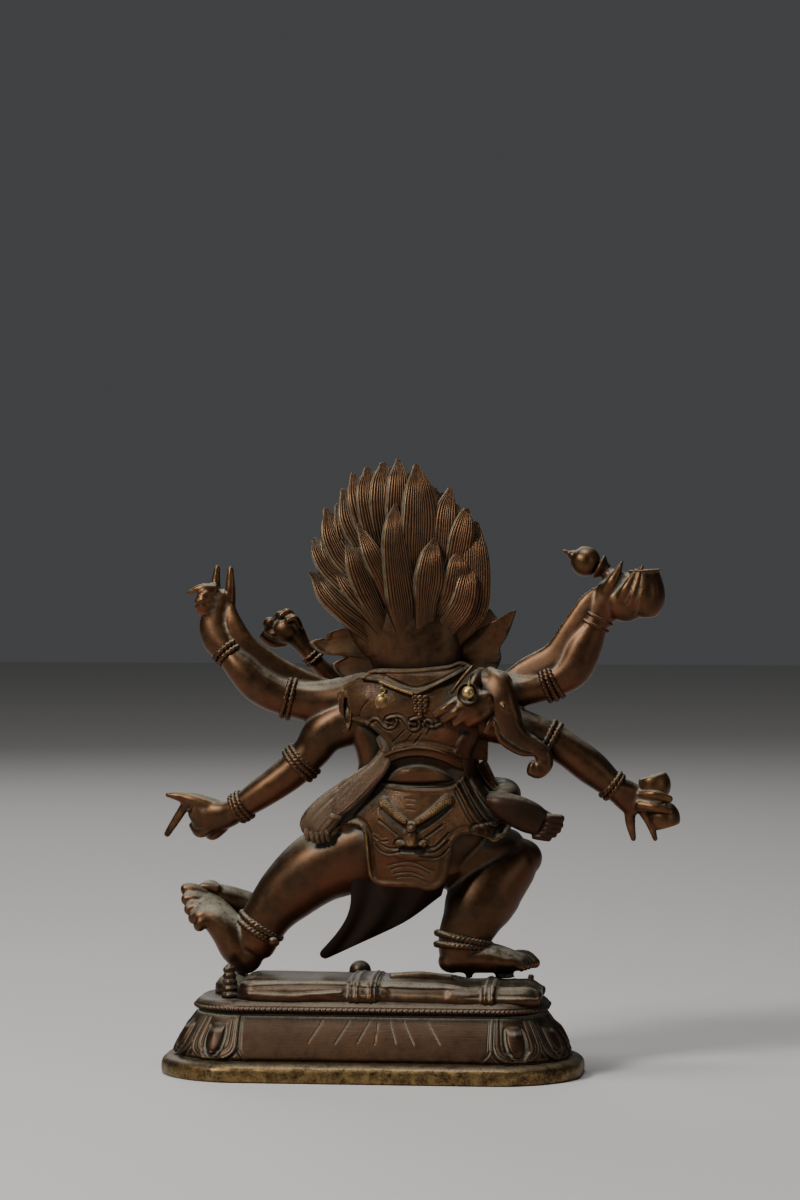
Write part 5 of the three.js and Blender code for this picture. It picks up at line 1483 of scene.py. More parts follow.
def hide_limb_skins():
    """Two flat limbs of the hide, laid from the raised arms' crests up to their own edge."""

    def flat(turns, share):
        return 0.96 * boxy(turns, 3.6)

    left = [
        (5, -1, 94.5, 4, 2.4), (13.5, 0.4, 95.3, 3.5, 2.8), (26.2, 1.2, 99.3, 4.7, 3),
        (33.4, 1.6, 103.2, 4.9, 3.2), (40.4, 1.6, 109.8, 4, 3), (43.6, 1, 116.5, 2.7, 2.6),
        (44.6, 0.4, 121.6, 1.2, 1.8),
    ]
    right = [
        (-33, -1, 97, 4, 2.4), (-41.2, 0, 98, 3.2, 2.8), (-49.4, 0.8, 101.8, 4.7, 3),
        (-57.8, 1.2, 106.6, 4.8, 3.2), (-63, 1.2, 114.8, 4.1, 3), (-67.8, 1.2, 122.8, 3.3, 2.6),
        (-70, 1.2, 126.8, 1.6, 1.8),
    ]
    return [tube(limb, 40, step=0.5, axis=(0.12, 1, 0.3), section=flat) for limb in (left, right)]


# Hair, in millimetres above the plate. Each lock is a layer and places (x, z, half width), and a
# layer's depths are those at four places along its locks

LOCKS = [
    ("a", [
        (-4.6, 109.2, 1.4), (1.1, 114.4, 2.2), (8.3, 120.6, 2.6), (14.1, 125.8, 2.3), (17.4, 130.6, 1.1),
        (19.4, 132.4, 0.5),
    ]),
    ("a", [(-6.6, 114.4, 1.2), (1.6, 120.1, 2.8), (7.8, 124.9, 3.0), (13.1, 129.2, 2.0), (16.4, 132.4, 0.6)]),
    ("a", [
        (-6.6, 114.9, 1.2), (-0.3, 123, 2.6), (6.4, 128.7, 3.1), (12.6, 134.2, 2.9), (16.2, 139, 2.2),
        (17.9, 142.4, 0.8),
    ]),
    ("a", [
        (-7, 115.8, 1.2), (-1.8, 125.4, 2.4), (4, 132.5, 2.9), (9.3, 138.6, 3.1), (12.6, 144.9, 2.5),
        (14.4, 152.2, 0.8),
    ]),
    ("a", [(-7, 118.2, 1.2), (-2.7, 132.5, 2.4), (2.1, 141.1, 2.8), (6.4, 149.2, 2.8), (9.1, 158.4, 0.8)]),
    ("a", [(-7.5, 120.6, 1.2), (-3.7, 134.4, 2.4), (1.1, 145.9, 2.8), (4, 155.4, 2.6), (6.0, 163.2, 0.8)]),
    ("a", [(-8.5, 120.6, 1.2), (-4.6, 134.9, 2.6), (-0.8, 147.8, 3.1), (1.1, 157.3, 2.7), (1.4, 164.8, 0.9)]),
    ("a", [(-9, 120.6, 1.2), (-6.1, 137.3, 2.8), (-3.9, 150.6, 3.3), (-3.4, 159.2, 2.9), (-3.4, 166.2, 0.9)]),
    ("a", [(-9.9, 120.6, 1.2), (-9, 137.3, 3.0), (-8.7, 151.6, 3.2), (-8.7, 161.2, 2.6), (-8.2, 167.7, 0.5)]),
    ("a", [(-16.1, 118.3, 1.2), (-18.5, 137.3, 2.6), (-19.2, 150.2, 3.0), (-19.6, 158.8, 0.7)]),
    ("a", [
        (-17.6, 115.9, 1), (-21.6, 130.2, 2.1), (-22.8, 142.1, 3), (-23.4, 151.6, 2.7), (-24.6, 158.6, 0.7),
    ]),
    ("a", [
        (-19, 115.9, 1.2), (-25.7, 132.6, 2.8), (-28.4, 144.5, 3), (-29.4, 150.2, 1.6), (-30, 151.2, 0.6),
    ]),
    ("a", [
        (-24.8, 110.7, 2.9), (-31, 120.7, 3.8), (-32.6, 130.2, 3.7), (-32.4, 139.3, 3.1), (-32.2, 147.8, 1.1),
    ]),
    ("b", [
        (-14.9, 115.5, 1), (-14.7, 130.3, 2.4), (-15.3, 139.8, 4.3), (-15.7, 149.2, 4.6), (-15.2, 158.3, 3.4),
        (-14.3, 165.8, 0.7),
    ]),
    ("b", [
        (-19, 114.6, 1.4), (-25.4, 123.2, 3.3), (-27.1, 130.3, 3.3), (-27.3, 135.5, 2.3), (-28.7, 140.4, 0.4),
    ]),
    ("c", [
        (-17.1, 114.6, 1), (-17.8, 123.2, 2.7), (-18.9, 130.3, 3.7), (-19.4, 137.6, 2.6), (-20.4, 143.6, 0.4),
    ]),
    ("c", [
        (-11.3, 114.1, 2.9), (-10.5, 123.1, 3.7), (-9.1, 132.6, 3.6), (-8.1, 142.1, 3), (-7.9, 148.3, 2),
        (-8.2, 153.8, 0.4),
    ]),
    ("b", [(-6.1, 114.1, 1.4), (-2.3, 123.1, 3.6), (1.6, 131.7, 4.0), (4.4, 138.0, 2.7), (7.4, 142.6, 0.4)]),
    ("c", [(-7.5, 123.1, 1.4), (-4.4, 131.2, 2.3), (-0.8, 138.6, 2.3), (3.8, 148.2, 0.4)]),
    ("b", [(-5.6, 114.1, 1.2), (0.6, 122.2, 2.4), (6.3, 128.5, 2.3), (11.4, 134.4, 0.4)]),
    ("b", [(-21.5, 112.5, 1.6), (-28.3, 121.5, 3.0), (-30.2, 129.5, 2.6), (-30.6, 136.4, 0.5)]),
]
HAIR_CORE = [
    (-14.4, 2.8, 100, 13.4, 7.6), (-14.4, 3, 104.6, 14.4, 8.3), (-13.8, 3.1, 109, 15.2, 8.6),
    (-12.8, 3.1, 112.5, 16.6, 8.7), (-11.6, 3, 116.5, 18.4, 8.2), (-11, 2.7, 120, 19.6, 7.8),
    (-10.6, 2.4, 124, 20.8, 7.4), (-10.2, 2.2, 132, 21.6, 6.8), (-10, 2, 141, 20.6, 6),
    (-9.8, 2, 149.5, 17.2, 5), (-9.2, 2, 156.5, 11.6, 4), (-8.4, 2, 161.5, 5.4, 3),
]
LAYER_DEPTH = {"a": (5.4, 7.8, 6.6, 3.4), "b": (7.2, 9.8, 9.6, 7.2), "c": (8.6, 11.6, 12.0, 9.6)}


def lock(layer, places, back=1.0, shrink=1.0, around=72, step=0.6):
    """One lock: a flat leaf of hair with steep sides, whose broad flutes run together at its
    ends, tipped so that one edge stands proud of its neighbour. Its depth rises out of the nape,
    leans in again, and falls away to the sides like a dome."""
    share = np.linspace(0, 1, len(places))
    depth = np.interp(share, [0, 0.35, 0.7, 1], LAYER_DEPTH[layer])

    def section(turns, run):
        flutes = 0.07 * np.abs(np.sin(1.5 * np.cos(turns) * math.pi + 0.8)) * np.abs(np.sin(turns))
        return 0.95 * boxy(turns, 5) - flutes

    stations = []
    tip = tuple(0.86 * a + 0.14 * b for a, b in zip(places[-1], places[-2]))
    for k, ((x, z, half), y) in enumerate(zip([*places[:-1], tip], depth)):
        half = max(half, 3.5) if k == 0 else half + 0.15 if k == len(places) - 1 else half
        fuller = 1.0 if k in (0, len(places) - 1) else 1.48 if k == 1 else 1.4
        x, z = -12 + (x + 12) * shrink, 108 + (z - 108) * shrink
        dome = math.sqrt(max(1 - ((x + 10) / 36) ** 2, 0.1))
        stations.append(
            (
                x, (y + 0.5 * math.sin(places[1][0] * 2.3)) * dome * back, z, half * fuller,
                min(half * 1.1, 2.3),
            )
        )
    made = tube(stations, around, step, axis=(-0.4, 1, 0), section=section, start=0.4, end=1.3)
    side = np.abs(made["grain"][:, 0])
    made["wear"] = (
        0.24 * step_up(side / max(side.max(), 0.1), 0.7, 0.78) * step_up(made["grain"][:, 1], 5, 16)
    )
    return made


def halfway(one, other):
    """The stations of a lock that lies between two others."""
    def five(places):
        run = np.linspace(0, 1, len(places))
        return np.stack([np.interp(np.linspace(0, 1, 5), run, column) for column in np.array(places).T], 1)

    return [tuple(row) for row in (five(one) + five(other)) / 2]


def hair_skins():
    """The flame of hair: the smooth core with its cup at the nape, and the locks behind and in
    front of it."""
    core = tube(HAIR_CORE, 72, step=0.7, start=0.2)
    core["grain"] = core["grain"] * 0
    made = [core]
    made += [lock(layer, places) for layer, places in LOCKS]
    made += [
        lock(layer, places, back=-0.62, shrink=0.93, around=40, step=0.9)
        for layer, places in LOCKS if layer != "c"
    ]
    outer = [places for layer, places in LOCKS if layer == "a"]
    made += [
        lock("a", halfway(*pair), back=0.72, shrink=0.965, around=48, step=0.8)
        for pair in zip(outer, outer[1:])
    ]
    sides = [places for places in outer if abs(places[-1][0] + 10) > 13]
    made += [lock("a", places, back=0.1, shrink=0.97, around=40, step=0.9) for places in sides]
    return made


# Head, crown and ear ribbons, in millimetres above the plate. The front is the usual wrathful one

HEAD = (-12, -5, 119)


def head_skins():
    """The face in one skin: round skull, bulging brows and eyes, a third eye, a broad nose, a
    mouth with fangs, ears, and a neck."""
    x, y, z = HEAD
    made = [
        ball(HEAD, (13, 13.2, 15.2), 48, 32),
        ball((x, y - 6.5, z - 6.5), (8.6, 7.4, 6.6), 36, 20),
        tube([(x, -17.6, 124.6, 1.5, 1.6), (x, -19.6, 119.4, 2.2, 2.2), (x, -19.4, 117.2, 2.8, 1.9)], 24),
        ball((x - 2.4, -17.9, 117.0), (1.6, 1.7, 1.4), 16, 10),
        ball((x + 2.4, -17.9, 117.0), (1.6, 1.7, 1.4), 16, 10),
        tube([
            (x - 6.0, -15.4, 111.2, 1.1, 1.1), (x - 3, -17.4, 112.8, 1.3, 1.2),
            (x, -18.2, 112.4, 1.4, 1.2), (x + 3, -17.4, 112.8, 1.3, 1.2),
            (x + 6.0, -15.4, 111.2, 1.1, 1.1),
        ], 18, axis=(0, 0, 1)),
        tube([
            (x - 4.4, -15.8, 108.6, 1.1, 1.1), (x, -17.4, 108.4, 1.5, 1.2),
            (x + 4.4, -15.8, 108.6, 1.1, 1.1),
        ], 18, axis=(0, 0, 1)),
        ball((x, -17.0, 128.2), (1.1, 1.2, 1.8), 16, 10),
        tube([(x, 1, 100, 8.5, 8), (x, -1, 106, 8.2, 8), (x, -2, 112, 9, 9)], 32),
    ]
    for side in (-1, 1):
        made += [
            ball((x + side * 5.4, -16.0, 121.4), (2.5, 2.0, 2.1), 24, 16),
            tube([
                (x + side * 1.6, -18, 124.0, 1.0, 1.1), (x + side * 5.4, -17.8, 126.2, 1.5, 1.4),
                (x + side * 9.8, -13.6, 124.6, 0.9, 1.0),
            ], 18, axis=(0, 0, 1)),
            tube([
                (x + side * 2.4, -17, 119.0, 0.8, 0.8), (x + side * 5.4, -17.2, 118.4, 1.0, 0.9),
                (x + side * 8.6, -14.6, 119.4, 0.7, 0.7),
            ], 14, axis=(0, 0, 1)),
            ball((x + side * 7.4, -13.2, 113.8), (3.2, 3.0, 3.0), 24, 16),
            tube([
                (x + side * 12.6, -4, 124.4, 1.5, 2.4), (x + side * 13.4, -4, 118, 1.6, 2.8),
                (x + side * 13.0, -4.8, 112, 1.1, 1.4),
            ], 20),
            tube(tapering([(x + side * 2.6, -17.8, 111.6), (x + side * 2.6, -18.2, 109.4)], 0.7, 0.2), 10),
        ]
    return made


def adornment_skins():
    """The crown of five pointed leaves, each with a raised frame and a jewel, its band, the ear
    drops and the beads of the necklace."""
    x, y, z = HEAD
    made = []
    for leaf in range(5):
        turn = math.radians((leaf - 2) * 34)
        out = np.array([math.sin(turn), -math.cos(turn), 0.0])
        side = np.array([math.cos(turn), math.sin(turn), 0.0])
        hub = np.array([x, y, 0]) + out * 12.2
        high = 142.6 if leaf == 2 else 140.2
        rows, columns = np.meshgrid(np.linspace(0, 0.985, 40), np.linspace(1, -1, 33), indexing="ij")
        half = 3.7 * (1 - rows**2.4) ** 0.75 * (0.82 + 0.3 * np.sin(math.pi * np.clip(rows * 1.25, 0, 1)))
        edge = hump(1 - np.abs(columns) - 0.14, 0.2) * 0.6 + 1.1 * np.sqrt(
            np.clip(1 - (columns * half / 1.5) ** 2 - ((rows - 0.4) * (high - 125) / 2.2) ** 2, 0, 1)
        )
        at = hub + side * (columns * half)[..., None] + out * (1.0 + edge)[..., None]
        at = at + np.array([0, 0, 1.0]) * (125 + (high - 125) * rows)[..., None]
        made.append(slab(at, at - out * 1.7))
    turn = np.linspace(math.radians(200), math.radians(340), 30)
    band = np.stack([x + 12.9 * np.cos(turn), y + 12.9 * np.sin(turn), np.full(30, 125.6)], -1)
    made.append(rope(band, 1.0, pitch=2.0, wear=0.4))
    made.append(rope(band - (0, 0, 1.8), 0.7, pitch=1.2, wear=0.4))
    for sign in (-1, 1):
        drop = [(0, -2.6), (1.6, -1.9), (2.3, 0), (1.5, 1.7), (0, 2.3)]
        made.append(turned(drop, (x + sign * 13.4, -5.4, 107.6), (0, 0, 1), 24, wear=0.4))
    for bead in range(11):
        turn = math.radians(200 + 14 * bead)
        level = 103.4 - 2.6 * math.sin(math.pi * bead / 10)
        place = (x + 10.4 * math.cos(turn), -2 + 11.2 * math.sin(turn), level)
        made.append(ball(place, (1.3, 1.3, 1.3), 14, 9, wear=0.4))
    return made


def ribbon(line, inner, depth=0.8):
    """A stiff ribbon: a sheet from an inner line to a scalloped outer line, waved in depth, its
    outer edge a little raised."""
    x, z = panel(line, inner, 50, 120)
    down = np.linspace(0, 1, 50)[:, None]
    across = np.linspace(0, 1, 120)[None]
    y = depth + 0.6 * np.sin(4 * math.pi * across + 1) * (1 - down) + 0.5 * hump(down - 0.06, 0.08)
    return sheet(x, y, z, 2.4)


def ribbon_skins():
    """The two stiff ribbons behind the ears."""
    left = [
        (9.4, 99.6), (11.9, 101.5), (12.6, 104), (9, 106.2), (13, 106.6), (17.4, 107.6), (20, 110.4),
        (16.6, 111.6), (14.6, 111.8), (13.6, 113.6), (9.6, 114.8),
    ][::-1]
    left_in = [(0, 99.6), (-3, 103), (-3.4, 107), (-1.6, 112), (3, 116.5)][::-1]
    right = [
        (-30, 117.4), (-33.8, 120.2), (-36.6, 121.3), (-39.4, 118.4), (-41.6, 119.2), (-44.9, 120.9),
        (-44, 116.8), (-42.2, 112.4), (-40.2, 109), (-40.4, 105.4), (-38.2, 101.6), (-33.4, 99.6),
    ]
    right_in = [(-24.5, 115), (-25, 109), (-24.8, 104), (-25.4, 100.4)]
    return [ribbon(left, left_in, depth=1.6), ribbon(right_in, right, depth=3.4)]


# Consort, in millimetres above the plate

CONSORT_RAISED = [
    (-3.5, -17, 86, 3.8, 3.8), (5, -16.4, 90.4, 3.4, 3.4), (13.2, -15, 97.4, 3.1, 3.1),
    (19.6, -14, 103.8, 2.5, 2.5), (23.6, -14, 108.6, 2.6, 2.3), (26.4, -14, 112.4, 3.6, 2.4),
    (28.6, -14, 116, 3.2, 2.2),
]
CONSORT_EMBRACE = [
    (-20, -17, 87, 3.8, 3.8), (-32.5, -14, 93.5, 3.6, 3.6), (-34.5, -2, 99.2, 3.2, 3.2),
    (-34, 7, 99.2, 3.8, 2.4), (-33.2, 11.4, 97.8, 4, 2.3), (-32.2, 13.4, 95.2, 4, 2.2),
    (-31.6, 14.2, 92.4, 4.4, 2.4),
]
WRAPPED_LEG = [
    (-20, -18, 60, 8, 7.6), (-32, -16, 61.6, 6.2, 6.2), (-40.2, -9, 63, 4.8, 4.8), (-42.4, 2, 62.8, 4.3, 4.3),
    (-42.6, 9.4, 62.6, 4.2, 4.2), (-41.4, 12.4, 61.6, 3.4, 3.4),
]
HIP_TOES = [
    ((-53.6, 57.4), (-59.9, 56.9)), ((-53, 55.3), (-59.9, 54.9)), ((-52.4, 53.9), (-59.2, 53.4)),
    ((-51.8, 52.6), (-57.9, 52)), ((-51.4, 51.5), (-56.2, 50.8)),
]
CONSORT_FINGERS = [
    ((-28.4, 93.4), (-21.4, 88.8)), ((-31.8, 92.6), (-23.8, 87.2)), ((-35.4, 92.4), (-27.4, 86.2)),
    ((-37.6, 90.6), (-31.6, 86)),
]


def consort_skins():
    """The consort in one skin: body, arms, both legs and feet, and her head."""
    made = [
        tube([
            (-14, -19, 57, 8.5, 7.5), (-14, -19.5, 63, 9.6, 8), (-13, -19.5, 71, 6.6, 6),
            (-12.4, -18.5, 80, 8, 6.4), (-12, -17.5, 86, 9, 5.4), (-12, -17.5, 90.6, 3.6, 3.8),
        ], 40),
        tube(CONSORT_RAISED, 28),
        tube(CONSORT_EMBRACE, 28, axis=(1, 0, 0)),
        tube([
            (-10, -18, 58, 8, 7.6), (2, -17.5, 49, 6.6, 6.6), (15, -16, 40, 5.4, 5.4),
            (28, -13, 32, 4.8, 4.8), (38, -10.6, 27.6, 3.4, 3.6),
        ], 32),
        tube([
            (36.4, -9.4, 24.4, 3.8, 3.4), (40.6, -9, 26, 5, 4), (45.8, -8.6, 28.4, 4.4, 4.6),
            (50.6, -8.4, 30.6, 3.2, 5),
        ], 28, end=0.4),
        tube(WRAPPED_LEG, 32, axis=(0, 0, 1)),
        ball((-12, -20, 99), (6.6, 6.6, 8), 32, 20),
        tube([(-12, -17.5, 88, 3.2, 3.2), (-12, -18.5, 93, 3.2, 3.2)], 20),
        ball((-12, -22, 107.2), (2.8, 2.8, 3.2), 20, 14),
    ]
    for toe in range(5):
        made.append(finger([
            (49.4, -12.4 + 2.0 * toe, 30.6 + 0.4 * toe), (52.6, -12.4 + 2.0 * toe, 33),
            (54.8, -12.4 + 2.0 * toe, 33),
        ], 1.6, 1.2))
    fingers = [
        ([(28, -14, 116.4), (30.6, -13.6, 118.8), (32.6, -13, 117.4)], 1.5),
        ([(26.4, -13, 117), (28.4, -12, 119.6), (30.6, -11.4, 118.4)], 1.4),
        ([(29.6, -13.4, 113), (32.8, -12.6, 112.4), (35.2, -13, 113.6)], 1.4),
        ([(24.6, -12.6, 114.6), (26, -11.2, 117.6), (28.2, -10.6, 117)], 1.3),
    ]
    made += [finger(points, radius, 0.95) for points, radius in fingers]
    made.append(tube([
        (-38.4, 13.6, 92.2, 3.6, 2.6), (-33.6, 15.4, 91.2, 5.6, 3.2), (-28.4, 15.4, 90.2, 4.6, 2.8),
        (-23.4, 15, 88.8, 2, 1.7),
    ], 36))
    made += [ball((-36.4, 15.2, 93.6), (2.9, 2.4, 2.9), 28, 18), sleeve_edge()]
    for k, (upper, lower) in enumerate(CONSORT_FINGERS):
        middle = np.add(upper, lower) / 2
        made.append(finger([
            (upper[0], 15.6, upper[1]), (middle[0], 17.7 - 0.2 * k, middle[1]),
            (lower[0], 16.8 - 0.3 * k, lower[1]),
        ], 1.6, 1.15))
    made += [
        ball((29, -13.4, 113.8), (4.6, 3, 4.2), 28, 18),
        ball((34.4, -14, 115.6), (2.2, 2.4, 2.4), 20, 14),
    ]
    made.append(tube(
        [(36.4, -15, 112.2, 1.6, 2), (33.4, -15.4, 110.4, 2, 2.4), (29.6, -15, 110.6, 1.8, 2.2)],
        20, axis=(0, 0, 1),
    ))
    return made


def hip_foot_skins():
    """The consort's foot at his hip, sole outwards, with its toes stacked at the end."""
    made = [
        tube([
            (-37.8, 12.8, 62.2, 2.2, 2.6), (-41, 13.6, 61.2, 3.9, 3.3), (-46, 14.2, 59.2, 4.9, 3.2),
            (-50.4, 14.2, 57.2, 5, 2.9), (-53.6, 14, 55.6, 4.2, 2.4),
        ], 48, end=0.3),
        tube([
            (-38, 12, 64.2, 1, 1.2), (-43.6, 13.4, 63.6, 1.2, 1.4), (-50, 13.6, 61.2, 1.2, 1.4),
            (-56.6, 13.6, 57.8, 0.9, 1.2),
        ], 20),
    ]
    for toe, ((near_x, near_z), (far_x, far_z)) in enumerate(HIP_TOES):
        size = 1.35 if toe == 0 else 1.0
        mid_x, mid_z = 0.5 * (near_x + far_x), 0.5 * (near_z + far_z)
        made.append(finger([(near_x, 13.6, near_z), (mid_x, 14.6, mid_z), (far_x, 14.2, far_z)], size, size))
    return made


def consort_hair_skins():
    """The fall of hair down the consort's back, in waved strands, and her bone apron's band."""

    def wave(turns, share):
        return 1 + 0.08 * np.abs(np.sin(7 * turns + 2 * share)) ** 0.6

    made = [
        tube([
            (-12, -25.6, 104, 3.4, 1.8), (-12.2, -27.8, 99, 5.6, 2.4), (-12.5, -28, 92, 6.2, 2.6),
            (-13, -26.6, 84, 4.6, 2.2), (-13.6, -26.6, 76.5, 1, 0.9),
        ], 64, section=wave)
    ]
    turn = circle(30)
    belt = np.stack([-14 + 9.6 * np.cos(turn), -19.4 + 8.2 * np.sin(turn), 65.5 + 0 * turn], -1)
    made.append(rope(belt, 0.8, closed=True, wear=0.3))
    for k in range(9):
        angle = math.pi * (1.1 + 0.1 * k)
        x, y = -14 + 9.9 * math.cos(angle), -19.4 + 8.5 * math.sin(angle)
        for bead in range(4):
            made.append(ball((x, y, 63.6 - 1.9 * bead), (0.8, 0.8, 0.8), 12, 8, wear=0.35))
    return made


def cup_skins():
    """The consort's cup over his right shoulder blade: a flared saucer round a gold knob with a
    spike."""
    bowl = [(0, -2), (2.4, -1.9), (3.1, -1), (3.4, 0.4), (3.3, 0.9), (2.8, 0.7), (2.2, -0.1), (0, -0.2)]
    knob = [(0, -0.4), (1.3, -0.2), (1.9, 0.7), (1.9, 1.4), (1.3, 2.2), (0.5, 2.6), (0, 2.7)]
    tip = [(0, 0), (0.75, 0.1), (0.6, 0.7), (0.3, 1), (0.45, 1.4), (0.2, 2.6), (0, 4)]
    return [
        turned(bowl, (-31.4, 18.0, 95.4), (-0.03, 1, 0.22), 48, step=0.2, wear=0.02),
        turned(knob, (-31.7, 18.6, 95.8), (-0.03, 1, 0.22), 28, step=0.2, wear=1.0),
        turned(tip, (-31.7, 19.4, 97.0), (-0.12, 0.1, 1), 16, step=0.15, wear=1.0),
    ]


def sleeve_edge():
    """The thin pale edge that runs from the collar's corner down beside the saucer."""
    return tube([
        (-32.4, 13, 103.6, 0.7, 0.9), (-30.4, 15.2, 101.2, 0.65, 1), (-28.2, 16.4, 98.4, 0.6, 1),
        (-26.2, 16.2, 95.6, 0.5, 0.8),
    ], 14)


# What the hands hold and the rings, in millimetres above the plate


def held_skins():
    """The ribbed gourd with its pointed ball, the hourglass drum with its cord, the flaying
    knife and the skull cup."""
    ribbed = [
        (0, -7.6), (2.9, -7.3), (4.9, -5.2), (5.9, -1.8), (5.8, 1.6), (5.1, 4.6), (4.6, 6.4), (5, 7),
        (4.5, 7.4), (3.6, 6.9), (0, 6.7),
    ]
    pointed = [
        (0, -4.8), (1.4, -4.6), (1.9, -3.9), (3.3, -3.4), (4.6, -1.2), (4.7, 0.8), (3.7, 3), (1.9, 4.2),
        (1.5, 5), (0.7, 6), (0.5, 7.2), (0, 8.2),
    ]
    drum = [
        (0, -8.4), (3.6, -8.4), (4.6, -7.6), (5, -5), (4.2, -2.4), (2.3, 0), (4.2, 2.4), (5, 5), (4.6, 7.6),
        (3.6, 8.4), (0, 8.4),
    ]
    cup = [(0, -4), (3.4, -3), (5.2, 0.6), (5.4, 2.4), (4.6, 2.6), (3.6, 0.8), (0, -0.6)]

    def ribs(turns, share):
        return 1 + 0.03 * np.abs(np.sin(3.5 * turns)) ** 0.5 * np.sin(math.pi * np.clip(share, 0, 1))

    made = [
        turned(ribbed, (-85.3, 2.2, 126.2), (0.04, 0, 1), 90, scallop=ribs),
        turned(pointed, (-66.6, 0, 136.0), (0.85, 0, 0.42), 44, step=0.25),
        turned(
            [(0, -1.2), (1.9, -1.1), (2.6, 0.2), (3.9, 1.5), (4, 2.1), (3, 2.2), (0, 1.4)],
            (-72.6, 0.4, 133.4), (0.85, 0, 0.42), 40, step=0.2,
        ),
        tube([(-69, 0, 134.8, 1.9, 1.9), (-73, 0.6, 132.6, 2.2, 2.2), (-77, 1.5, 130.2, 2.4, 2.4)], 20),
        turned(drum, (-89.6, -1, 61.4), (0.28, 0, 1), 56, wear=0.1),
        turned(cup, (-8, -35.5, 83), (0, 0.15, 1), 40),
        tube([
            (-27, -36, 84, 1, 1), (-24, -36.4, 82, 2.4, 0.9), (-21, -36.5, 81.2, 3, 1),
            (-18, -36.4, 82, 2.4, 0.9), (-15, -36, 84.5, 1, 1),
        ], 24),
        tube([(-20.6, -36, 83, 1.1, 1.1), (-20, -34.5, 92, 1.1, 1.1)], 16),
    ]
    turn = circle(16)
    for off in (-0.7, 0.7):
        path = np.stack([
            -89.6 + 0.28 * off + 2.7 * np.cos(turn), -1 + 2.7 * np.sin(turn),
            61.4 + off - 0.75 * np.cos(turn),
        ], -1)
        made.append(rope(path, 0.5, pitch=1.0, closed=True, wear=0.3))
    return made


def ring_skins(radius):
    """Rope rings round the arms, wrists and ankles, with the knot on the left ankle."""
    places = [
        ("upper left", 1.85, 2, 1.9), ("upper left", 5.1, 2, 1.9),
        ("lower left", 2.55, 3, 1.6), ("lower left", 4.85, 3, 1.6),
        ("upper right", 2.8, 3, 1.7), ("upper right", 6.1, 2, 2.0),
        ("lower right", 2.25, 2, 1.8), ("lower right", 4.9, 2, 1.8),
    ]
    made = []
    for name, place, strands, spread in places:
        plain = name == "upper right" and place > 5
        size, twist = (0.85, 0.03) if plain else (1.1, 0.26)
        made += rope_set(ARMS[name], place, strands, radius * size, spread, twist=twist)
    left_shin = [
        (26.8, 0, 31.8, 9.6, 9.2), (33, 0.2, 24.6, 7.4, 7.6), (37.6, 0.5, 17.6, 6.2, 6.4),
        (40, 0.8, 13, 5.8, 6),
    ]
    made += rope_set(left_shin, 1.55, 2, radius * 1.35, 2.1, grow=0.4)
    made += rope_set(RIGHT_SHIN[4:], 1.3, 2, radius * 1.35, 2.3, grow=0.5)
    made += rope_set(CONSORT_RAISED, 3.2, 2, radius * 0.9, 1.6, grow=0.3)
    made.append(ball((30.4, 7.4, 17.2), (1.5, 1.2, 1.4), 20, 12))
    return made


# Stage, operators and panel

# The camera's place and the point that it looks at, in metres, and its focal length as a share of
# the longer side of the frame
EYE = (-0.1449, 1.2919, 0.183)
AIM = (-0.0085, -0.0010, 0.1478)
FOCAL_SHARE = 4160 / 1200
SENSOR = 36
# Each lamp's name, place, size, power and colour, and the point that all are turned to
LAMPS = [
    ("Key", (0.75, 0.8, 0.9), 0.28, 17.5, (1, 0.97, 0.93)),
    ("Above", (0.1, 0.15, 1.3), 0.45, 9.0, (1, 1, 1)),
    ("Fill", (-1.0, 0.7, 0.35), 0.5, 1.2, (1, 1, 1)),
    ("Front", (0.4, -1.1, 0.8), 0.6, 3.4, (1, 1, 1)),
]
LAMPS_AIM = (0, 0, 0.1)
WORLD_COLOUR = (0.55, 0.56, 0.58, 1)
WORLD_STRENGTH = 0.11
FLOOR_COLOUR = (0.5, 0.49, 0.475)
FLOOR_HALF = 3


def seated(name, data, place, aim):
    """An object of a lamp or a camera at a place, turned to a point."""
    made = bpy.data.objects.new(name, data)
    made.location = place
    made.rotation_euler = (Vector(aim) - Vector(place)).to_track_quat("-Z", "Y").to_euler()
    bpy.context.scene.collection.objects.link(made)
    return made


def build(name, skins, material, voxel=0.0, rounds=0):
    """One piece of the figure casting in its finish."""
    made = piece(name, skins, voxel=voxel, rounds=rounds)
    finish_piece(made, material, "figure")


class BRONZE_OT_stage(bpy.types.Operator):
    """Makes the pale floor, the soft lights and the camera"""

    bl_idname = "bronze.stage"
    bl_label = "Stage"

    def execute(self, context):
        world = bpy.data.worlds.new("Studio")
        context.scene.world = world
        world.use_nodes = True
        backdrop = world.node_tree.nodes["Background"]
        backdrop.inputs["Color"].default_value = WORLD_COLOUR
        backdrop.inputs["Strength"].default_value = WORLD_STRENGTH
        floor = bpy.data.meshes.new("floor")
        corners = [(FLOOR_HALF * x, FLOOR_HALF * y, 0) for x, y in ((-1, -1), (1, -1), (1, 1), (-1, 1))]
        floor.from_pydata(corners, [], [(0, 1, 2, 3)])
        made = bpy.data.objects.new("floor", floor)
        context.scene.collection.objects.link(made)
        tree = Tree("Floor")
        tree.finish(Base_Color=FLOOR_COLOUR, Roughness=0.8)
        floor.materials.append(tree.material)
        made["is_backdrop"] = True
        for name, place, size, power, colour in LAMPS:
            light = bpy.data.lights.new(name, "AREA")
            light.size = size
            light.energy = power
            light.color = colour
            seated(name, light, place, LAMPS_AIM)
        camera = bpy.data.cameras.new("Camera")
        camera.sensor_width = SENSOR
        camera.lens = SENSOR * FOCAL_SHARE
        camera.clip_start = 0.01
        context.scene.camera = seated("Camera", camera, EYE, AIM)
        return {"FINISHED"}


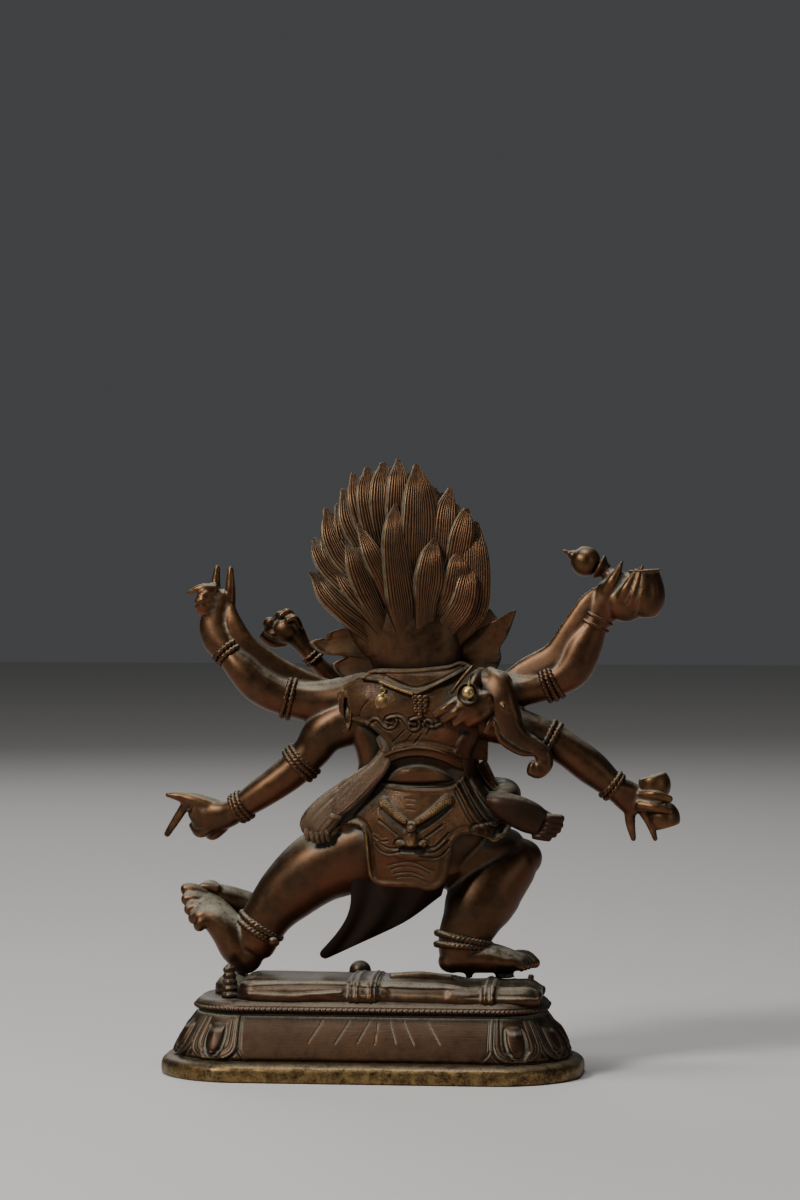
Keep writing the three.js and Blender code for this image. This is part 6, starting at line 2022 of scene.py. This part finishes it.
class BRONZE_OT_materials(bpy.types.Operator):
    """Makes the patinated bronzes that the pieces share"""

    bl_idname = "bronze.materials"
    bl_label = "Materials"

    def execute(self, context):
        look = context.scene.patina_colours
        sizes = context.scene.figure_sizes
        # A shade value paints shade into the colour: a little on the ropes, more on the trampled body and the
        # plinth to darken them, most on the hip foot and the flap; the ribbon's negative shade lifts some of
        # the painted crowding shade
        bronze("Bronze flesh", look, rub=0.85)
        bronze("Bronze hair", look, strands=sizes.strand / MM, dusty=0.45, golden=0.3)
        bronze("Bronze skirt", look, strokes=3.0, worn=0.06, dusty=0.8, golden=0.34)
        bronze("Bronze cloth", look, strokes=3.0, dusty=0.7, golden=0.22)
        bronze("Bronze sash", look, strokes=3.0, lodge=0.6, rub=0.8, haze=0.17, golden=0.15)
        bronze("Bronze ribbon", look, dusty=0.3, shade=-0.4, golden=0.3)
        bronze("Bronze rope", look, lodge=0.7, shade=0.2, rub=0.45)
        bronze("Bronze deep painted shade", look, shade=0.75, lodge=0.0, rub=0.1, dusty=0.6)
        bronze("Bronze painted shade", look, shade=1.0)
        bronze(
            "Bronze plinth", look, scratches=2500.0, lodge=0.75, gilding=0.42, edges=0.85, dusty=0.85,
            rub=0.5, shade=0.42,
        )
        bronze(
            "Bronze trampled", look, scratches=2500.0, lodge=0.7, edges=0.75, dusty=0.68, rub=0.35,
            shade=0.3,
        )
        return {"FINISHED"}


class BRONZE_OT_plinth(bpy.types.Operator):
    """Makes the plinth: flange, petals, panel, beads and plate"""

    bl_idname = "bronze.plinth"
    bl_label = "Plinth"

    def execute(self, context):
        made = piece("plinth_casting", plinth_skins(context.scene.plinth_sizes), lift=0)
        finish_piece(made, "Bronze plinth", "plinth")
        return {"FINISHED"}


class BRONZE_OT_trampled(bpy.types.Operator):
    """Makes the trampled body on the plinth"""

    bl_idname = "bronze.trampled"
    bl_label = "Trampled body"

    def execute(self, context):
        made = piece("trampled_body", prone_skins())
        finish_piece(made, "Bronze trampled", "plinth")
        return {"FINISHED"}


class BRONZE_OT_flesh(bpy.types.Operator):
    """Makes the trunk and legs, and the arms, each fused into one skin"""

    bl_idname = "bronze.flesh"
    bl_label = "Flesh"

    def execute(self, context):
        fine = context.scene.figure_sizes.fuse / MM
        build("trunk_and_legs", flesh_skins(), "Bronze flesh", fine, 6)
        build("arms", arm_skins(), "Bronze flesh", fine, 4)
        return {"FINISHED"}


class BRONZE_OT_garments(bpy.types.Operator):
    """Makes the hide, its collar and drops, the sash, the skirt with its mask, and the flap"""

    bl_idname = "bronze.garments"
    bl_label = "Garments"

    def execute(self, context):
        build("hide_and_collar", torso_skins(), "Bronze cloth")
        build("collar_drops", collar_drop_skins(), "Bronze flesh")
        build("sash_and_folds", sash_skins(), "Bronze sash")
        build("tiger_skirt", skirt_skins(), "Bronze skirt")
        # The flap is painted in shade: its material darkens it nearly to the hollows' colour
        build("pointed_flap", flap_skins(), "Bronze painted shade")
        return {"FINISHED"}


class BRONZE_OT_elephant(bpy.types.Operator):
    """Makes the head of the elephant's hide"""

    bl_idname = "bronze.elephant"
    bl_label = "Elephant's head"

    def execute(self, context):
        build("elephant_head", elephant_skins(), "Bronze flesh", 0.32, 2)
        return {"FINISHED"}


class BRONZE_OT_hair(bpy.types.Operator):
    """Makes the flame of hair"""

    bl_idname = "bronze.hair"
    bl_label = "Hair"

    def execute(self, context):
        build("flame_hair", hair_skins(), "Bronze hair")
        return {"FINISHED"}


class BRONZE_OT_head(bpy.types.Operator):
    """Makes the face, the crown and the ear ribbons"""

    bl_idname = "bronze.head"
    bl_label = "Head and crown"

    def execute(self, context):
        build("face", head_skins(), "Bronze flesh", 0.5, 3)
        build("crown_and_drops", adornment_skins(), "Bronze flesh")
        build("ear_ribbons", ribbon_skins(), "Bronze ribbon")
        return {"FINISHED"}


class BRONZE_OT_consort(bpy.types.Operator):
    """Makes the consort, her hair and belt, and her cup"""

    bl_idname = "bronze.consort"
    bl_label = "Consort"

    def execute(self, context):
        build("consort", consort_skins(), "Bronze flesh", 0.5, 4)
        # The hip foot is painted in deep shade by its material
        build("hip_foot", hip_foot_skins(), "Bronze deep painted shade", 0.3, 2)
        build("consort_hair_and_belt", consort_hair_skins(), "Bronze flesh")
        build("consort_cup", cup_skins(), "Bronze flesh")
        return {"FINISHED"}


class BRONZE_OT_held(bpy.types.Operator):
    """Makes what the hands hold, and the rope rings"""

    bl_idname = "bronze.held"
    bl_label = "Held things and rings"

    def execute(self, context):
        build("held_things", held_skins(), "Bronze flesh")
        build("rope_rings", ring_skins(context.scene.figure_sizes.rope / MM), "Bronze rope")
        return {"FINISHED"}


OPERATORS = [
    BRONZE_OT_stage, BRONZE_OT_materials, BRONZE_OT_plinth, BRONZE_OT_trampled, BRONZE_OT_flesh,
    BRONZE_OT_garments, BRONZE_OT_elephant, BRONZE_OT_hair, BRONZE_OT_head, BRONZE_OT_consort,
    BRONZE_OT_held,
]


class BRONZE_PT_panel(bpy.types.Panel):
    """Lists the steps that build the bronze"""

    bl_idname = "BRONZE_PT_panel"
    bl_label = "Bronze"
    bl_space_type = "VIEW_3D"
    bl_region_type = "UI"
    bl_category = "Bronze"

    def draw(self, context):
        for step in OPERATORS:
            self.layout.operator(step.bl_idname)


GROUPS = {"plinth_sizes": PlinthSizes, "figure_sizes": FigureSizes, "patina_colours": PatinaColours}


def register():
    for kind in (*GROUPS.values(), *OPERATORS, BRONZE_PT_panel):
        bpy.utils.register_class(kind)
    for name, kind in GROUPS.items():
        setattr(bpy.types.Scene, name, bpy.props.PointerProperty(type=kind))


def unregister():
    for name in GROUPS:
        delattr(bpy.types.Scene, name)
    for kind in reversed((*GROUPS.values(), *OPERATORS, BRONZE_PT_panel)):
        bpy.utils.unregister_class(kind)


def main():
    """Runs every step of the panel in order, measures and thins the pieces, and finds the bounds
    of the finished look."""
    register()
    for step in OPERATORS:
        group, name = step.bl_idname.split(".")
        getattr(getattr(bpy.ops, group), name)()
    crowding(PIECES)
    for made in PIECES:
        if made.name not in WHOLE:
            thin(made)
    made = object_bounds()


if __name__ == "__main__":
    main()
